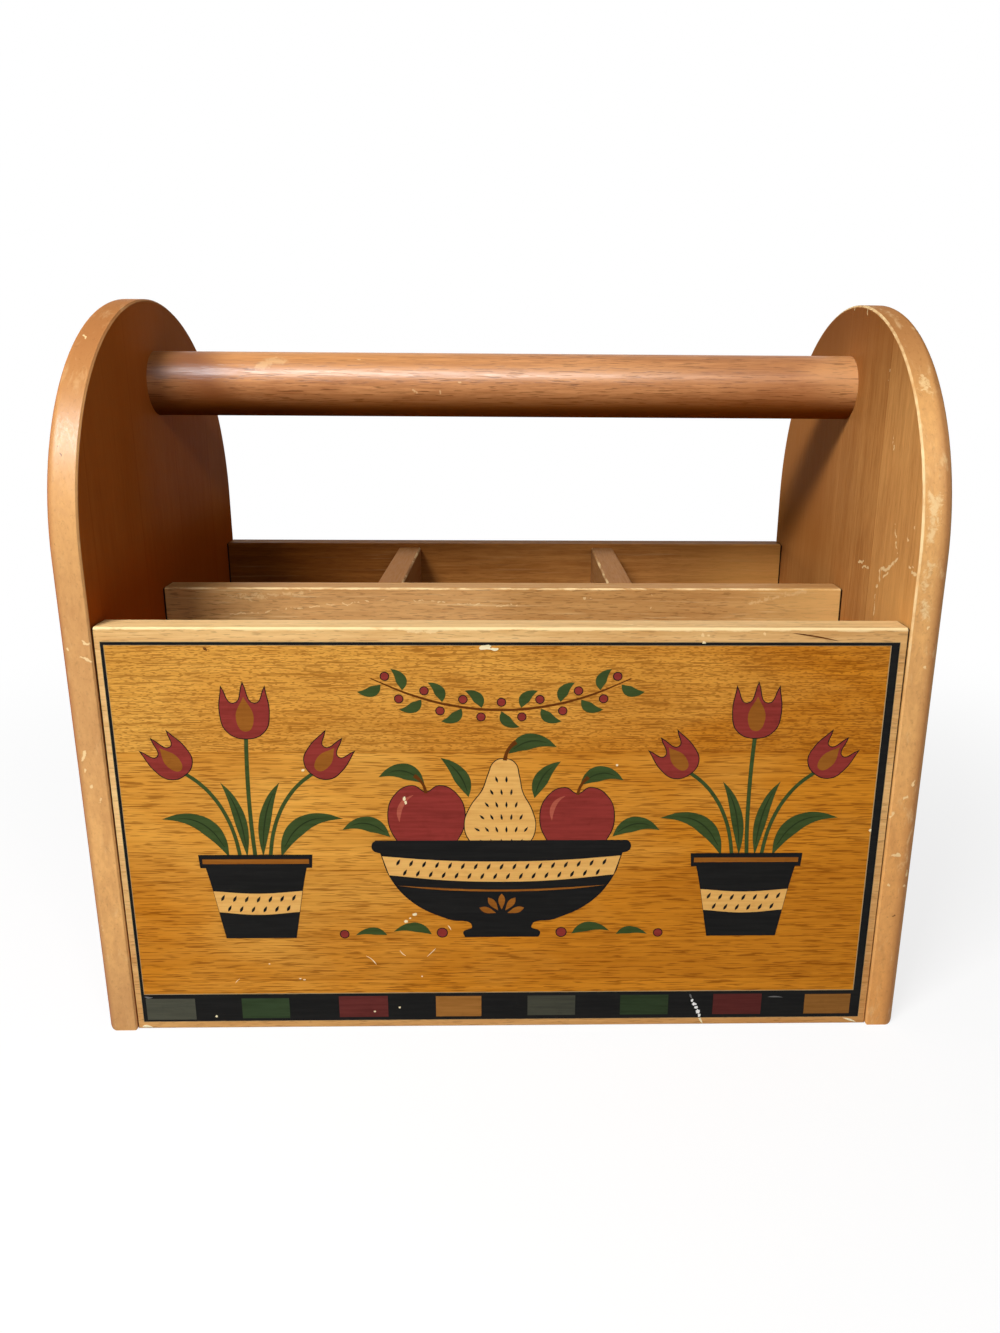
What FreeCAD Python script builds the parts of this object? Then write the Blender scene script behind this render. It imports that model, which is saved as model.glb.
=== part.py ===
# Wooden utensil caddy: two end boards with half-round tops carry a round handle bar and a box of
# boards. The box has one long slot in front of a partition and three bins behind it.
# Millimetres, +Z up, front towards -Y. The origin is on the table, under the middle of the caddy.
import FreeCAD, Part

import os
from math import cos, isclose, pi, sin

Vector = FreeCAD.Vector

# Driving dimensions of the case
INNER_WIDTH = 285.0        # between the end boards
CASE_DEPTH = 178.0         # end boards, front edge to back edge
SPRING_HEIGHT = 185.5      # where the half-round top of the end boards begins
WALL_HEIGHT = 162.0        # top of the front and back boards
INNER_HEIGHT = 160.0       # top of the partition and dividers
FRONT_SLOT_DEPTH = 60.0    # front board to partition
BOARD_SETBACK = 0.8        # front and back boards behind the end boards' edges

# Board stock
END_STOCK = 11.0
BOX_STOCK = 11.0           # front board, partition and back board
DIVIDER_STOCK = 11.0
FLOOR_STOCK = 6.0
END_ROUND = 3.2            # round-over on the outer edge of the end boards
ARRIS = 0.6                # flat eased edge on the rest of the boards
DIVIDER_NAMES = ("left", "right")

# Handle bar
HANDLE_DIAMETER = 25.4
HANDLE_BELOW_CROWN = 32.5  # handle axis below the top of the arch
SOCKET_SHARE = 0.27        # depth of a handle socket, of the end board's thickness
HANDLE_FIT = 0.05          # clearance round the handle in its sockets

# Floor board, held in grooves on all four sides
FLOOR_LIFT = 6.0           # underside of the floor above the table
GROOVE_SHARE = 0.45        # depth of a groove, of the thickness of the board that it is cut in
FLOOR_FIT = 0.15           # clearance over the floor and at its edges

# Stopped housings in the partition and the back board, which take the ends of the dividers
HOUSING_SHARE = 0.3        # depth of a housing, of the board's thickness
HOUSING_STOP = 14.0        # housings end this far below the dividers' tops
HOUSING_FIT = 0.05         # glue line round a divider's end

# Joint pins, fluted so that glue can pass
PIN_DIAMETER = 6.0
PIN_LENGTH = 24.0
PIN_CHAMFER = 0.8
PIN_FLUTES = 12
PIN_FIT = 0.05             # glue line round a pin
PIN_END_GAP = 0.5          # glue pocket past each end of a pin
PIN_SEAT_SHARE = 0.6       # depth of a pin hole in a board's face, of that board's thickness
PIN_HEIGHT_SHARES = (0.27, 0.8)

# Handle screws and the wooden plugs over their heads
SCREW_DIAMETER = 4.2
SCREW_HEAD_DIAMETER = 8.0
SCREW_LENGTH = 36.0
SCREW_POINT = 5.0
SCREW_FIT = 0.05           # clearance round a screw
RECESS_WIDTH = 1.2         # cross recess in a screw head
RECESS_LENGTH_SHARE = 0.55
RECESS_DEPTH_SHARE = 0.7
PLUG_MARGIN = 0.75         # plug radius beyond the screw head's
PLUG_HOLE_SHARE = 0.36     # depth of a plug hole, of the end board's thickness
PLUG_FIT = 0.05
PLUG_GAP = 0.3             # plug above the screw head

OVERRUN = 2.0              # how far a cutting tool runs past a face

# Places worked out from the driving dimensions
HALF_WIDTH = INNER_WIDTH / 2
OUTER_HALF_WIDTH = HALF_WIDTH + END_STOCK
ARCH_RADIUS = CASE_DEPTH / 2
CROWN_HEIGHT = SPRING_HEIGHT + ARCH_RADIUS
HANDLE_HEIGHT = CROWN_HEIGHT - HANDLE_BELOW_CROWN
HANDLE_RADIUS = HANDLE_DIAMETER / 2
SOCKET_DEPTH = SOCKET_SHARE * END_STOCK

FRONT_FACE = -CASE_DEPTH / 2 + BOARD_SETBACK
FRONT_INSIDE = FRONT_FACE + BOX_STOCK
PARTITION_FRONT = FRONT_INSIDE + FRONT_SLOT_DEPTH
PARTITION_BACK = PARTITION_FRONT + BOX_STOCK
BACK_FACE = CASE_DEPTH / 2 - BOARD_SETBACK
BACK_INSIDE = BACK_FACE - BOX_STOCK
FRONT_MIDDLE = (FRONT_FACE + FRONT_INSIDE) / 2
PARTITION_MIDDLE = (PARTITION_FRONT + PARTITION_BACK) / 2
BACK_MIDDLE = (BACK_INSIDE + BACK_FACE) / 2

FLOOR_TOP = FLOOR_LIFT + FLOOR_STOCK
END_GROOVE = GROOVE_SHARE * END_STOCK
BOX_GROOVE = GROOVE_SHARE * BOX_STOCK

PIN_RADIUS = PIN_DIAMETER / 2
END_PIN_SEAT = PIN_SEAT_SHARE * END_STOCK

SCREW_RADIUS = SCREW_DIAMETER / 2
SCREW_HEAD_RADIUS = SCREW_HEAD_DIAMETER / 2
SCREW_HEAD_HEIGHT = SCREW_HEAD_RADIUS - SCREW_RADIUS
PLUG_RADIUS = SCREW_HEAD_RADIUS + PLUG_MARGIN
PLUG_HOLE_DEPTH = PLUG_HOLE_SHARE * END_STOCK

DIVIDER_COUNT = len(DIVIDER_NAMES)
BIN_WIDTH = (INNER_WIDTH - DIVIDER_COUNT * DIVIDER_STOCK) / (DIVIDER_COUNT + 1)
HOUSING_DEPTH = HOUSING_SHARE * BOX_STOCK
HOUSING_TOP = INNER_HEIGHT - HOUSING_STOP
FIRST_DIVIDER = -HALF_WIDTH + BIN_WIDTH + DIVIDER_STOCK / 2
DIVIDER_CENTRES = [FIRST_DIVIDER + n * (BIN_WIDTH + DIVIDER_STOCK) for n in range(DIVIDER_COUNT)]

X_AXIS = Vector(1, 0, 0)


def block(low, high):
    """A box between two opposite corners."""
    size = high - low
    return Part.makeBox(size.x, size.y, size.z, low)


def edges_at(shape, test):
    """The edges whose every point passes the test; three points are enough for lines and arcs."""
    found = []
    for edge in shape.Edges:
        points = edge.discretize(Number=3)
        if all(test(p) for p in points):
            found.append(edge)
    return found


def ease(shape, test):
    """Takes off the sharp edges that pass the test."""
    return shape.makeChamfer(ARRIS, edges_at(shape, test))


def pin_heights(bottom, top):
    """Heights of the pins in one end of a board."""
    return [bottom + share * (top - bottom) for share in PIN_HEIGHT_SHARES]


def turned(profile, start, axis):
    """A solid of revolution; the profile gives (distance along the axis, radius) from tip to tip."""
    across = Vector(0, 0, 1)
    points = [start + axis * along + across * radius for along, radius in profile]
    wire = Part.makePolygon(points + [points[0]])
    return Part.Face(wire).revolve(start, axis, 360)


def pin(start, side):
    """One fluted joint pin with chamfered ends, from its start in an end board towards the middle."""
    angles = [2 * pi * n / PIN_FLUTES for n in range(PIN_FLUTES + 1)]
    rim = [start + Vector(0, PIN_RADIUS * cos(a), PIN_RADIUS * sin(a)) for a in angles]
    along = X_AXIS * -side * PIN_LENGTH
    shaft = Part.Face(Part.makePolygon(rim)).extrude(along)
    end_x = start.x + along.x
    ends = edges_at(shaft, lambda p: isclose(p.x, start.x) or isclose(p.x, end_x))
    return shaft.makeChamfer(PIN_CHAMFER, ends)


def pin_hole(start, side):
    """The blind hole that a pin fills, in both boards at once, with a glue pocket past each end."""
    return Part.makeCylinder(
        PIN_RADIUS + PIN_FIT,
        PIN_LENGTH + 2 * PIN_END_GAP,
        start + X_AXIS * side * PIN_END_GAP,
        X_AXIS * -side,
    )


def pin_starts(side, y, bottom, top):
    """Where the pins start that run from an end board into the end of a board at depth y."""
    x = side * (HALF_WIDTH + END_PIN_SEAT - PIN_END_GAP)
    return [Vector(x, y, z) for z in pin_heights(bottom, top)]


def front_pin_starts(side):
    """Pins between the front board and an end board."""
    return pin_starts(side, FRONT_MIDDLE, 0, WALL_HEIGHT)


def partition_pin_starts(side):
    """Pins between the partition and an end board."""
    return pin_starts(side, PARTITION_MIDDLE, FLOOR_TOP, INNER_HEIGHT)


def back_pin_starts(side):
    """Pins between the back board and an end board."""
    return pin_starts(side, BACK_MIDDLE, 0, WALL_HEIGHT)


def pins(starts, side):
    """The separate pins of one joint."""
    return Part.makeCompound([pin(start, side) for start in starts])


def pin_holes(starts, side):
    """The holes for the pins of one joint."""
    return [pin_hole(start, side) for start in starts]


def housings(y_low, y_high):
    """The housings for the dividers, between two depths."""
    half = DIVIDER_STOCK / 2 + HOUSING_FIT
    return [
        block(Vector(x - half, y_low, FLOOR_TOP), Vector(x + half, y_high, HOUSING_TOP))
        for x in DIVIDER_CENTRES
    ]


def floor_space(fit):
    """The floor board, or with a fit the grooves that it lies in."""
    x = HALF_WIDTH + END_GROOVE - FLOOR_FIT + fit
    y_low = FRONT_INSIDE - BOX_GROOVE + FLOOR_FIT - fit
    y_high = BACK_INSIDE + BOX_GROOVE - FLOOR_FIT + fit
    return block(Vector(-x, y_low, FLOOR_LIFT), Vector(x, y_high, FLOOR_TOP + fit))


def screw(side, fit):
    """A countersunk handle screw without its recess, or with a fit the hole that it needs."""
    head_place = OUTER_HALF_WIDTH - PLUG_HOLE_DEPTH
    start = Vector(side * head_place, 0, HANDLE_HEIGHT)
    profile = [
        (0, 0),
        (0, SCREW_HEAD_RADIUS + fit),
        (SCREW_HEAD_HEIGHT, SCREW_RADIUS + fit),
        (SCREW_LENGTH - SCREW_POINT, SCREW_RADIUS + fit),
        (SCREW_LENGTH + fit, 0),
    ]
    return turned(profile, start, X_AXIS * -side)


def cross_recess(side):
    """The cross recess in a screw head."""
    head_place = side * (OUTER_HALF_WIDTH - PLUG_HOLE_DEPTH)
    deep = head_place - side * RECESS_DEPTH_SHARE * SCREW_HEAD_HEIGHT
    x_low, x_high = sorted((deep, head_place + side * OVERRUN))
    long_half = RECESS_LENGTH_SHARE * SCREW_HEAD_DIAMETER / 2
    slim_half = RECESS_WIDTH / 2
    slots = []
    for half_y, half_z in ((long_half, slim_half), (slim_half, long_half)):
        low = Vector(x_low, -half_y, HANDLE_HEIGHT - half_z)
        high = Vector(x_high, half_y, HANDLE_HEIGHT + half_z)
        slots.append(block(low, high))
    return slots


def end_board(side):
    """A board with a half-round top, rounded over all round its outer face and drilled for the handle."""
    inner_x = side * HALF_WIDTH
    outer_x = side * OUTER_HALF_WIDTH
    front_foot = Vector(inner_x, -ARCH_RADIUS, 0)
    front_spring = Vector(inner_x, -ARCH_RADIUS, SPRING_HEIGHT)
    crown = Vector(inner_x, 0, CROWN_HEIGHT)
    back_spring = Vector(inner_x, ARCH_RADIUS, SPRING_HEIGHT)
    back_foot = Vector(inner_x, ARCH_RADIUS, 0)
    outline = Part.Wire([
        Part.LineSegment(front_foot, front_spring).toShape(),
        Part.Arc(front_spring, crown, back_spring).toShape(),
        Part.LineSegment(back_spring, back_foot).toShape(),
        Part.LineSegment(back_foot, front_foot).toShape(),
    ])
    board = Part.Face(outline).extrude(X_AXIS * side * END_STOCK)
    board = board.makeFillet(END_ROUND, edges_at(board, lambda p: isclose(p.x, outer_x)))
    board = ease(board, lambda p: isclose(p.x, inner_x))
    axis_point = Vector(inner_x, 0, HANDLE_HEIGHT)
    inwards = X_AXIS * -side
    socket = Part.makeCylinder(
        HANDLE_RADIUS + HANDLE_FIT,
        SOCKET_DEPTH + OVERRUN,
        axis_point - inwards * SOCKET_DEPTH,
        inwards,
    )
    plug_hole = Part.makeCylinder(
        PLUG_RADIUS + PLUG_FIT,
        PLUG_HOLE_DEPTH + OVERRUN,
        axis_point + X_AXIS * side * (END_STOCK - PLUG_HOLE_DEPTH),
        X_AXIS * side,
    )
    starts = front_pin_starts(side) + partition_pin_starts(side) + back_pin_starts(side)
    cuts = [socket, plug_hole, screw(side, SCREW_FIT), floor_space(FLOOR_FIT)]
    return board.cut(cuts + pin_holes(starts, side))


def plain_board(y_low, y_high, bottom, top):
    """A board from one end board to the other, still with sharp edges."""
    return block(Vector(-HALF_WIDTH, y_low, bottom), Vector(HALF_WIDTH, y_high, top))


def front_board():
    """The front board: eased all round its face and along its top, grooved for the floor."""
    board = plain_board(FRONT_FACE, FRONT_INSIDE, 0, WALL_HEIGHT)
    board = ease(board, lambda p: isclose(p.y, FRONT_FACE) or isclose(p.z, WALL_HEIGHT))
    holes = pin_holes(front_pin_starts(-1), -1) + pin_holes(front_pin_starts(1), 1)
    return board.cut(holes + [floor_space(FLOOR_FIT)])


def partition_board():
    """The board between the front slot and the bins; it stands on the floor and houses the dividers."""
    board = plain_board(PARTITION_FRONT, PARTITION_BACK, FLOOR_TOP, INNER_HEIGHT)
    board = ease(board, lambda p: isclose(p.z, INNER_HEIGHT))
    holes = pin_holes(partition_pin_starts(-1), -1) + pin_holes(partition_pin_starts(1), 1)
    return board.cut(holes + housings(PARTITION_BACK - HOUSING_DEPTH, PARTITION_BACK + OVERRUN))


def back_board():
    """The back board: as the front board, and housed for the dividers on its inside."""
    board = plain_board(BACK_INSIDE, BACK_FACE, 0, WALL_HEIGHT)
    board = ease(board, lambda p: isclose(p.y, BACK_FACE) or isclose(p.z, WALL_HEIGHT))
    holes = pin_holes(back_pin_starts(-1), -1) + pin_holes(back_pin_starts(1), 1)
    slots = housings(BACK_INSIDE - OVERRUN, BACK_INSIDE + HOUSING_DEPTH)
    return board.cut(holes + slots + [floor_space(FLOOR_FIT)])


def divider(x):
    """A divider between two bins: its ends lie in the housings, with notched corners above them."""
    left_face = x - DIVIDER_STOCK / 2
    reach = HOUSING_DEPTH - HOUSING_FIT
    shoulder = HOUSING_TOP - HOUSING_FIT
    outline = [
        (PARTITION_BACK - reach, FLOOR_TOP),
        (PARTITION_BACK - reach, shoulder),
        (PARTITION_BACK, shoulder),
        (PARTITION_BACK, INNER_HEIGHT),
        (BACK_INSIDE, INNER_HEIGHT),
        (BACK_INSIDE, shoulder),
        (BACK_INSIDE + reach, shoulder),
        (BACK_INSIDE + reach, FLOOR_TOP),
    ]
    points = [Vector(left_face, y, z) for y, z in outline]
    profile = Part.Face(Part.makePolygon(points + [points[0]]))
    board = profile.extrude(X_AXIS * DIVIDER_STOCK)
    half = DIVIDER_STOCK / 2
    return ease(board, lambda p: isclose(p.z, INNER_HEIGHT) and isclose(abs(p.x - x), half))


def handle_bar():
    """The round handle bar, its ends let into both sockets and bored for the screws."""
    half_length = HALF_WIDTH + SOCKET_DEPTH
    start = Vector(-half_length, 0, HANDLE_HEIGHT)
    bar = Part.makeCylinder(HANDLE_RADIUS, 2 * half_length, start, X_AXIS)
    return bar.cut([screw(-1, SCREW_FIT), screw(1, SCREW_FIT)])


def handle_screw(side):
    """One screw from an end board into the handle bar."""
    return screw(side, 0).cut(cross_recess(side))


def screw_plug(side):
    """The wooden plug over a screw head, flush with the end board's outer face."""
    thickness = PLUG_HOLE_DEPTH - PLUG_GAP
    start = Vector(side * (OUTER_HALF_WIDTH - thickness), 0, HANDLE_HEIGHT)
    return Part.makeCylinder(PLUG_RADIUS, thickness, start, X_AXIS * side)


def caddy():
    """Every piece of the caddy, by name."""
    pieces = {
        "front_board": front_board(),
        "partition_board": partition_board(),
        "back_board": back_board(),
        "floor_board": floor_space(0),
        "handle_bar": handle_bar(),
    }
    for name, side in (("left", -1), ("right", 1)):
        pieces[f"{name}_end_board"] = end_board(side)
        pieces[f"{name}_front_pins"] = pins(front_pin_starts(side), side)
        pieces[f"{name}_partition_pins"] = pins(partition_pin_starts(side), side)
        pieces[f"{name}_back_pins"] = pins(back_pin_starts(side), side)
        pieces[f"{name}_handle_screw"] = handle_screw(side)
        pieces[f"{name}_screw_plug"] = screw_plug(side)
    for name, x in zip(DIVIDER_NAMES, DIVIDER_CENTRES):
        pieces[f"{name}_divider"] = divider(x)
    return pieces


def main():
    """Writes one STEP file per piece and prints each piece's size."""
    os.makedirs("parts", exist_ok=True)
    for name, shape in sorted(caddy().items()):
        box = shape.optimalBoundingBox()
        print(
            f"{name}: {box.XLength:.1f} x {box.YLength:.1f} x {box.ZLength:.1f} mm,"
            f" {len(shape.Solids)} solids, {shape.Volume:.0f} mm3, valid {shape.isValid()}"
        )
        shape.exportStep(f"parts/{name}.step")


main()
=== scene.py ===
# Looks of the wooden utensil caddy: stained boards with worn edges, a turned handle bar and a painted front.
from math import cos, hypot, pi, radians, sin
from random import Random

import bpy
from mathutils import Matrix, Vector


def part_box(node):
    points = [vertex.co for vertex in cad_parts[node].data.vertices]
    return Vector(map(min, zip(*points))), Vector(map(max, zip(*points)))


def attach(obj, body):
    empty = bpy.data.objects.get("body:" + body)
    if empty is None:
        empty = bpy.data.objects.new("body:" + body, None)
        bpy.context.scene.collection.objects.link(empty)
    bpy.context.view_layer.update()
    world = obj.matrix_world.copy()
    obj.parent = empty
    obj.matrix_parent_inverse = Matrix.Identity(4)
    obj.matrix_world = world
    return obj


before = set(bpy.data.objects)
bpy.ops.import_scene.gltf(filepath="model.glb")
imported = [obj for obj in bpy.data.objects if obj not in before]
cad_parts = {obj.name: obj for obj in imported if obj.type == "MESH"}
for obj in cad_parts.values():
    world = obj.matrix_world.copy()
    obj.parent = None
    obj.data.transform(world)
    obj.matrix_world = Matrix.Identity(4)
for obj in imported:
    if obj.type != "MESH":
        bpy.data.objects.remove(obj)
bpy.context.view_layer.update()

MM = 0.001

# Places on the caddy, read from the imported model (metres)
FRONT_LOW, FRONT_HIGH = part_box("front_board")
PARTITION_LOW, PARTITION_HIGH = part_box("partition_board")
BACK_LOW, BACK_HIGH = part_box("back_board")
END_LOW, END_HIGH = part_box("right_end_board")
DIVIDER_LOW, DIVIDER_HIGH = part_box("right_divider")
BAR_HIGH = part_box("handle_bar")[1]
FRONT_FACE = FRONT_LOW[1]
PARTITION_FACE = PARTITION_LOW[1]
BACK_FACE = BACK_LOW[1]
WALL_TOP = FRONT_HIGH[2]
INNER_TOP = PARTITION_HIGH[2]
HALF_WIDTH = END_LOW[0]
OUTER_HALF_WIDTH = END_HIGH[0]
ARCH_RADIUS = END_HIGH[1]
ARCH_TOP = END_HIGH[2]
SPRING_HEIGHT = ARCH_TOP - ARCH_RADIUS
BAR_RADIUS = BAR_HIGH[1]
BAR_HEIGHT = BAR_HIGH[2] - BAR_RADIUS

# Camera, fitted to the photograph's outlines
CAMERA_PLACE = Vector((2.03, -410.25, 249.09)) * MM
CAMERA_PITCH = radians(15.516)
CAMERA_YAW = radians(1.286)
CAMERA_ROLL = radians(0.409)
FOCAL_PIXELS = 959.7
IMAGE_WIDTH = 1000
IMAGE_HEIGHT = 1333
IMAGE_CENTRE = (530.8, 634.4)
SENSOR = 36.0

# Patterns in the wood: counts per metre across and along the grain
FIGURE = (120, 6)
STREAK = (430, 18)
FIBRE = (1250, 90)
PORES = (1700, 190)
BAR_PORES = (2600, 130)
PANEL_LINES = (1000, 12)
PANEL_SHORT_PORES = (2200, 480)
PANEL_LONG_PORES = (2500, 120)

# Planks that the boards are glued up from (metres), and how far the grain jumps from one to the next
BOARD_PLANK = 47 * MM
BOARD_PLANK_START = 21.5 * MM
END_PLANK = 45 * MM
PLANK_JUMP = 0.731

# Painted frame on the front board, in millimetres across and up
FRAME_LEFT, FRAME_RIGHT = -139.85, 139.4
FRAME_BOTTOM, FRAME_TOP = 3.4, 156.8
PANEL_LEFT, PANEL_RIGHT = -138.75, 136.5
PANEL_BOTTOM, PANEL_TOP = 15.4, 155.7
FRINGE = 0.3

# Heights of the paint films above the front board's face, in millimetres
GROUND_LEVEL = 0.05
FRINGE_LEVEL = 0.07
BLACK_LEVEL = 0.09
BLOCK_LEVEL = 0.12
CHIP_LEVEL = 0.2
FILM_ROOT = 0.02
LAYERS = {"stem": 0.07, "leaf": 0.09, "fruit": 0.10, "pear": 0.12, "pot": 0.14, "band": 0.16, "tick": 0.18}
COAT = 0.01
THIN_COAT = 0.005
LINE_WIDTH = 0.35

# Steps along each curve of a painted outline, and the distance within which its points are joined (metres)
CURVE_STEPS = 6
WELD_DISTANCE = 1e-6

# Painted still life, in millimetres: half outlines from the foot up, and brush strokes with their widths
BASE_LINE = 40.0
BOWL_PLACE = (-1.0, BASE_LINE)
BOWL_HALF = [(14, 0, 1), (14.6, 2.2), (11.2, 4.6), (20, 7.6), (33, 14.5), (41.5, 25), (45, 35.4, 1),
             (47.6, 36.6), (47.9, 39.2), (46.6, 40.6, 1)]
BOWL_BAND = [(-41.9, 26.4, 1), (-21, 24.2), (0, 23.5), (21, 24.2), (41.9, 26.4, 1), (44.3, 34.2, 1),
             (22, 32.4), (0, 31.9), (-22, 32.4), (-44.3, 34.2, 1)]
BOWL_RULE = ((-39, 22), (0, 17.6), (39, 22), (0, 0.7, 0.8, 0.8, 0.8, 0.7, 0))
BOWL_TICKS = (8, 4.8, 27.8, 0.0013, 2.0)
FAN_FOOT = 9.5
FAN_LENGTH = 9
FAN_TURNS = (20, 55, 90, 125, 160)
FAN_WIDTHS = (0, 1.3, 2.4, 2.2, 0)
PEAR_PLACE = (BOWL_PLACE[0], BASE_LINE + 55)
PEAR_HALF = [(0, -17.6), (5.5, -18.2), (10.8, -15), (13, -8.5), (11.2, -1.5), (7.2, 5.5), (5.6, 11.5),
             (3.5, 16.8), (0, 18)]
PEAR_TICK_ROWS = ((80, 9), (85, 10), (90, 9), (95, 6.5), (100, 4.5), (105, 3))
PEAR_TICK_GAP = 3.6
PEAR_TICK = (2.6, 0.8)
PEAR_TURN = radians(-4)
APPLES = (((-28.5, BASE_LINE + 48.5), 14.0), ((26.8, BASE_LINE + 48), 13.6))
APPLE_HALF = [(0, -0.85), (0.4, -0.92), (0.82, -0.5), (1, 0.15), (0.8, 0.75), (0.35, 1), (0, 0.82)]
APPLE_SHINES = [
    ((-38.5, 88), (-39.5, 96), (-33, 99), (0, 1.6, 1.8, 1.2, 0)),
    ((17.5, 88.5), (16.5, 96), (22.5, 98.5), (0, 1.5, 1.7, 1.1, 0)),
]
FRUIT_STEMS = [
    ((0.2, 112.4), (0.6, 117), (4.2, 119.6), (1.5, 1.2, 1.3, 1.8)),
    ((-28.5, 99.6), (-29, 104), (-32.6, 106.6), (1.2, 1.0, 1.1, 1.6)),
    ((26.8, 98.8), (27.4, 103), (30.6, 105.8), (1.2, 1.0, 1.1, 1.6)),
]
FRUIT_LEAVES = [
    ((1.5, 115), (9, 123.5), (19, 117.5), 6.2),
    ((-29, 103.4), (-36, 112), (-45.5, 106), 6.2),
    ((27.6, 102.6), (35, 111), (43.5, 104.5), 6.0),
    ((-13, 98), (-14.5, 108), (-23, 113.5), 5.6),
    ((11, 97.5), (12.5, 107.5), (20.5, 112), 5.4),
    ((-42, 82), (-50, 91.5), (-59.5, 85), 6.0),
    ((40, 82), (48.5, 91), (57.5, 84.5), 6.0),
]
POT_PLACES = ((-92.0, BASE_LINE), (90.5, BASE_LINE))
POT_HALF = [(13.2, 0, 1), (14.6, 8), (17.4, 24), (18.6, 29.6, 1), (20.6, 29.6, 1), (21, 35, 1)]
POT_BAND = [(-15, 11.2, 1), (0, 10), (15, 11.2, 1), (16.5, 20, 1), (0, 18.9), (-16.5, 20, 1)]
POT_RIM = (-19.6, 19.6, 31.3, 33.2)
POT_TICKS = (3, 4.4, 14.4, 0.004, 2.1)
BAND_TICK = (3.0, 1.0, radians(62))
MIDDLE_STEM = ((0, 34), (-1.5, 58), (0, 83), 1.5)
SIDE_STEM = ((5.5, 34), (8, 58), (23.6, 68), 1.4)
POT_LEAVES = (((9.5, 34), (15, 53), (33, 49.5), 6.4), ((2.9, 34), (3.4, 54), (10.6, 64), 4.4))
MIDDLE_TULIP = ((0, 81), 1.05, 0)
SIDE_TULIP = ((23, 67), 0.88, radians(-38))
TULIP_HALF = [(0, 0), (6.2, 2.5), (8.2, 9), (7.2, 18, 1), (3.6, 12.5), (0, 19.5, 1)]
TULIP_HEART = [(0, 2.5), (3, 7), (0, 15, 1)]
SWAG = ((-47, 143.5), (-1, 120), (45, 143.5))
SWAG_WIDTHS = (0.4, 0.8, 0.9, 0.9, 0.9, 0.8, 0.4)
SWAG_LEAVES = 13
SWAG_LEAF_WIDTH = 3.9
SWAG_BERRY = 1.35
FALLEN_PLACES = ((-33, 1), (31, -1))
FALLEN_LEAVES = (((5.5, 1.2), (-1, 7.0), (-9, 2.4), 4.0), ((-11.5, 1.0), (-17, 4.6), (-23.5, 0.9), 3.2))
FALLEN_BERRIES = (((9.4, 1.9), 1.8), ((-27.6, 1.5), 1.5))

# Colour blocks in the strip below the panel: left, right, bottom and top
BLOCKS = {
    "grey_green": ((-138.3, -119.5, 4.2, 13.6), (9.0, 27.6, 5.0, 13.9)),
    "green": ((-101.6, -83.3, 4.6, 13.5), (45.2, 64.0, 5.0, 13.9)),
    "dark_red": ((-64.1, -45.2, 4.8, 14.2), (81.6, 100.6, 4.9, 14.1)),
    "ochre": ((-26.6, -9.0, 4.8, 13.9), (117.6, 135.6, 4.9, 13.7)),
}

# Colours as written, linear
RED_LIGHT = (0.47, 0.145, 0.026, 1)
RED_DEEP = (0.31, 0.075, 0.010, 1)
RED_FOOT = (0.29, 0.042, 0.001, 1)
HONEY_LIGHT = (0.67, 0.33, 0.102, 1)
HONEY_DEEP = (0.33, 0.124, 0.030, 1)
HONEY_FOOT_LIGHT = (0.74, 0.38, 0.110, 1)
HONEY_BACK_SHADE = (0.328, 0.115, 0.0245, 1)
HONEY_TOP_SHADE = (0.22, 0.070, 0.016, 1)
LEFT_BAND = (0.68, 0.375, 0.140, 1)
RIGHT_BAND = (0.80, 0.43, 0.150, 1)
BAND_SHADE = (0.38, 0.155, 0.050, 1)
BAND_FOOT = (0.75, 0.30, 0.068, 1)
PALE_LIGHT = (0.82, 0.54, 0.235, 1)
PALE_DEEP = (0.60, 0.33, 0.115, 1)
AMBER_LIGHT = (0.93, 0.51, 0.105, 1)
AMBER_MIDDLE = (0.48, 0.200, 0.024, 1)
AMBER_DEEP = (0.37, 0.140, 0.012, 1)
AMBER_STAIN_AND_SHADE = (0.76, 0.54, 0.20, 1)
AMBER_PORE = (0.20, 0.060, 0.005, 1)
FALLOFF_SHADE = (0.82, 0.68, 0.56, 1)
BIN_SHADOW = (0.42, 0.28, 0.10, 1)
TAN_LIGHT = (0.69, 0.395, 0.152, 1)
TAN_DEEP = (0.47, 0.235, 0.080, 1)
TAN_PAINTED_LIGHT = (0.955, 0.60, 0.21, 1)
TAN_DARKENING = (0.90, 0.87, 0.78, 1)
BROWN_LIGHT = (0.50, 0.222, 0.060, 1)
BROWN_DEEP = (0.27, 0.098, 0.019, 1)
BROWN_PAINTED_LIGHT = (0.77, 0.39, 0.100, 1)
DIVIDER_LIGHT = (0.42, 0.20, 0.072, 1)
DIVIDER_DEEP = (0.28, 0.115, 0.032, 1)
BAR_LIGHT = (0.60, 0.275, 0.108, 1)
BAR_DEEP = (0.27, 0.090, 0.028, 1)
BAR_TOP = (0.60, 0.265, 0.075, 1)
BAR_LEFT_SHADOW = (0.19, 0.062, 0.020, 1)
BAR_PAINTED_LIGHT = (0.70, 0.35, 0.140, 1)
BAR_UNDER_SHADE = (0.21, 0.058, 0.005, 1)
BAR_UNDER_LEFT_SHADE = (0.14, 0.036, 0.003, 1)
PORE_BROWN = (0.085, 0.026, 0.007, 1)
JOINT_GLUE_AND_SHADOW = (0.02, 0.006, 0.0015, 1)
BARE_WOOD = (0.88, 0.66, 0.34, 1)
CHIP_CREAM = (0.86, 0.77, 0.50, 1)
CHIP_TAN = (0.74, 0.57, 0.31, 1)
CHIP_WHITE = (0.90, 0.89, 0.86, 1)
CHIP_GREY = (0.66, 0.65, 0.62, 1)
SCUFF_GREY = (0.13, 0.125, 0.12, 1)
FRINGE_TAN = (0.40, 0.28, 0.13, 1)
STEEL_DEEP = (0.42, 0.41, 0.40, 1)
STEEL_LIGHT = (0.62, 0.61, 0.60, 1)
BLACK = (0, 0, 0, 1)
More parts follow.
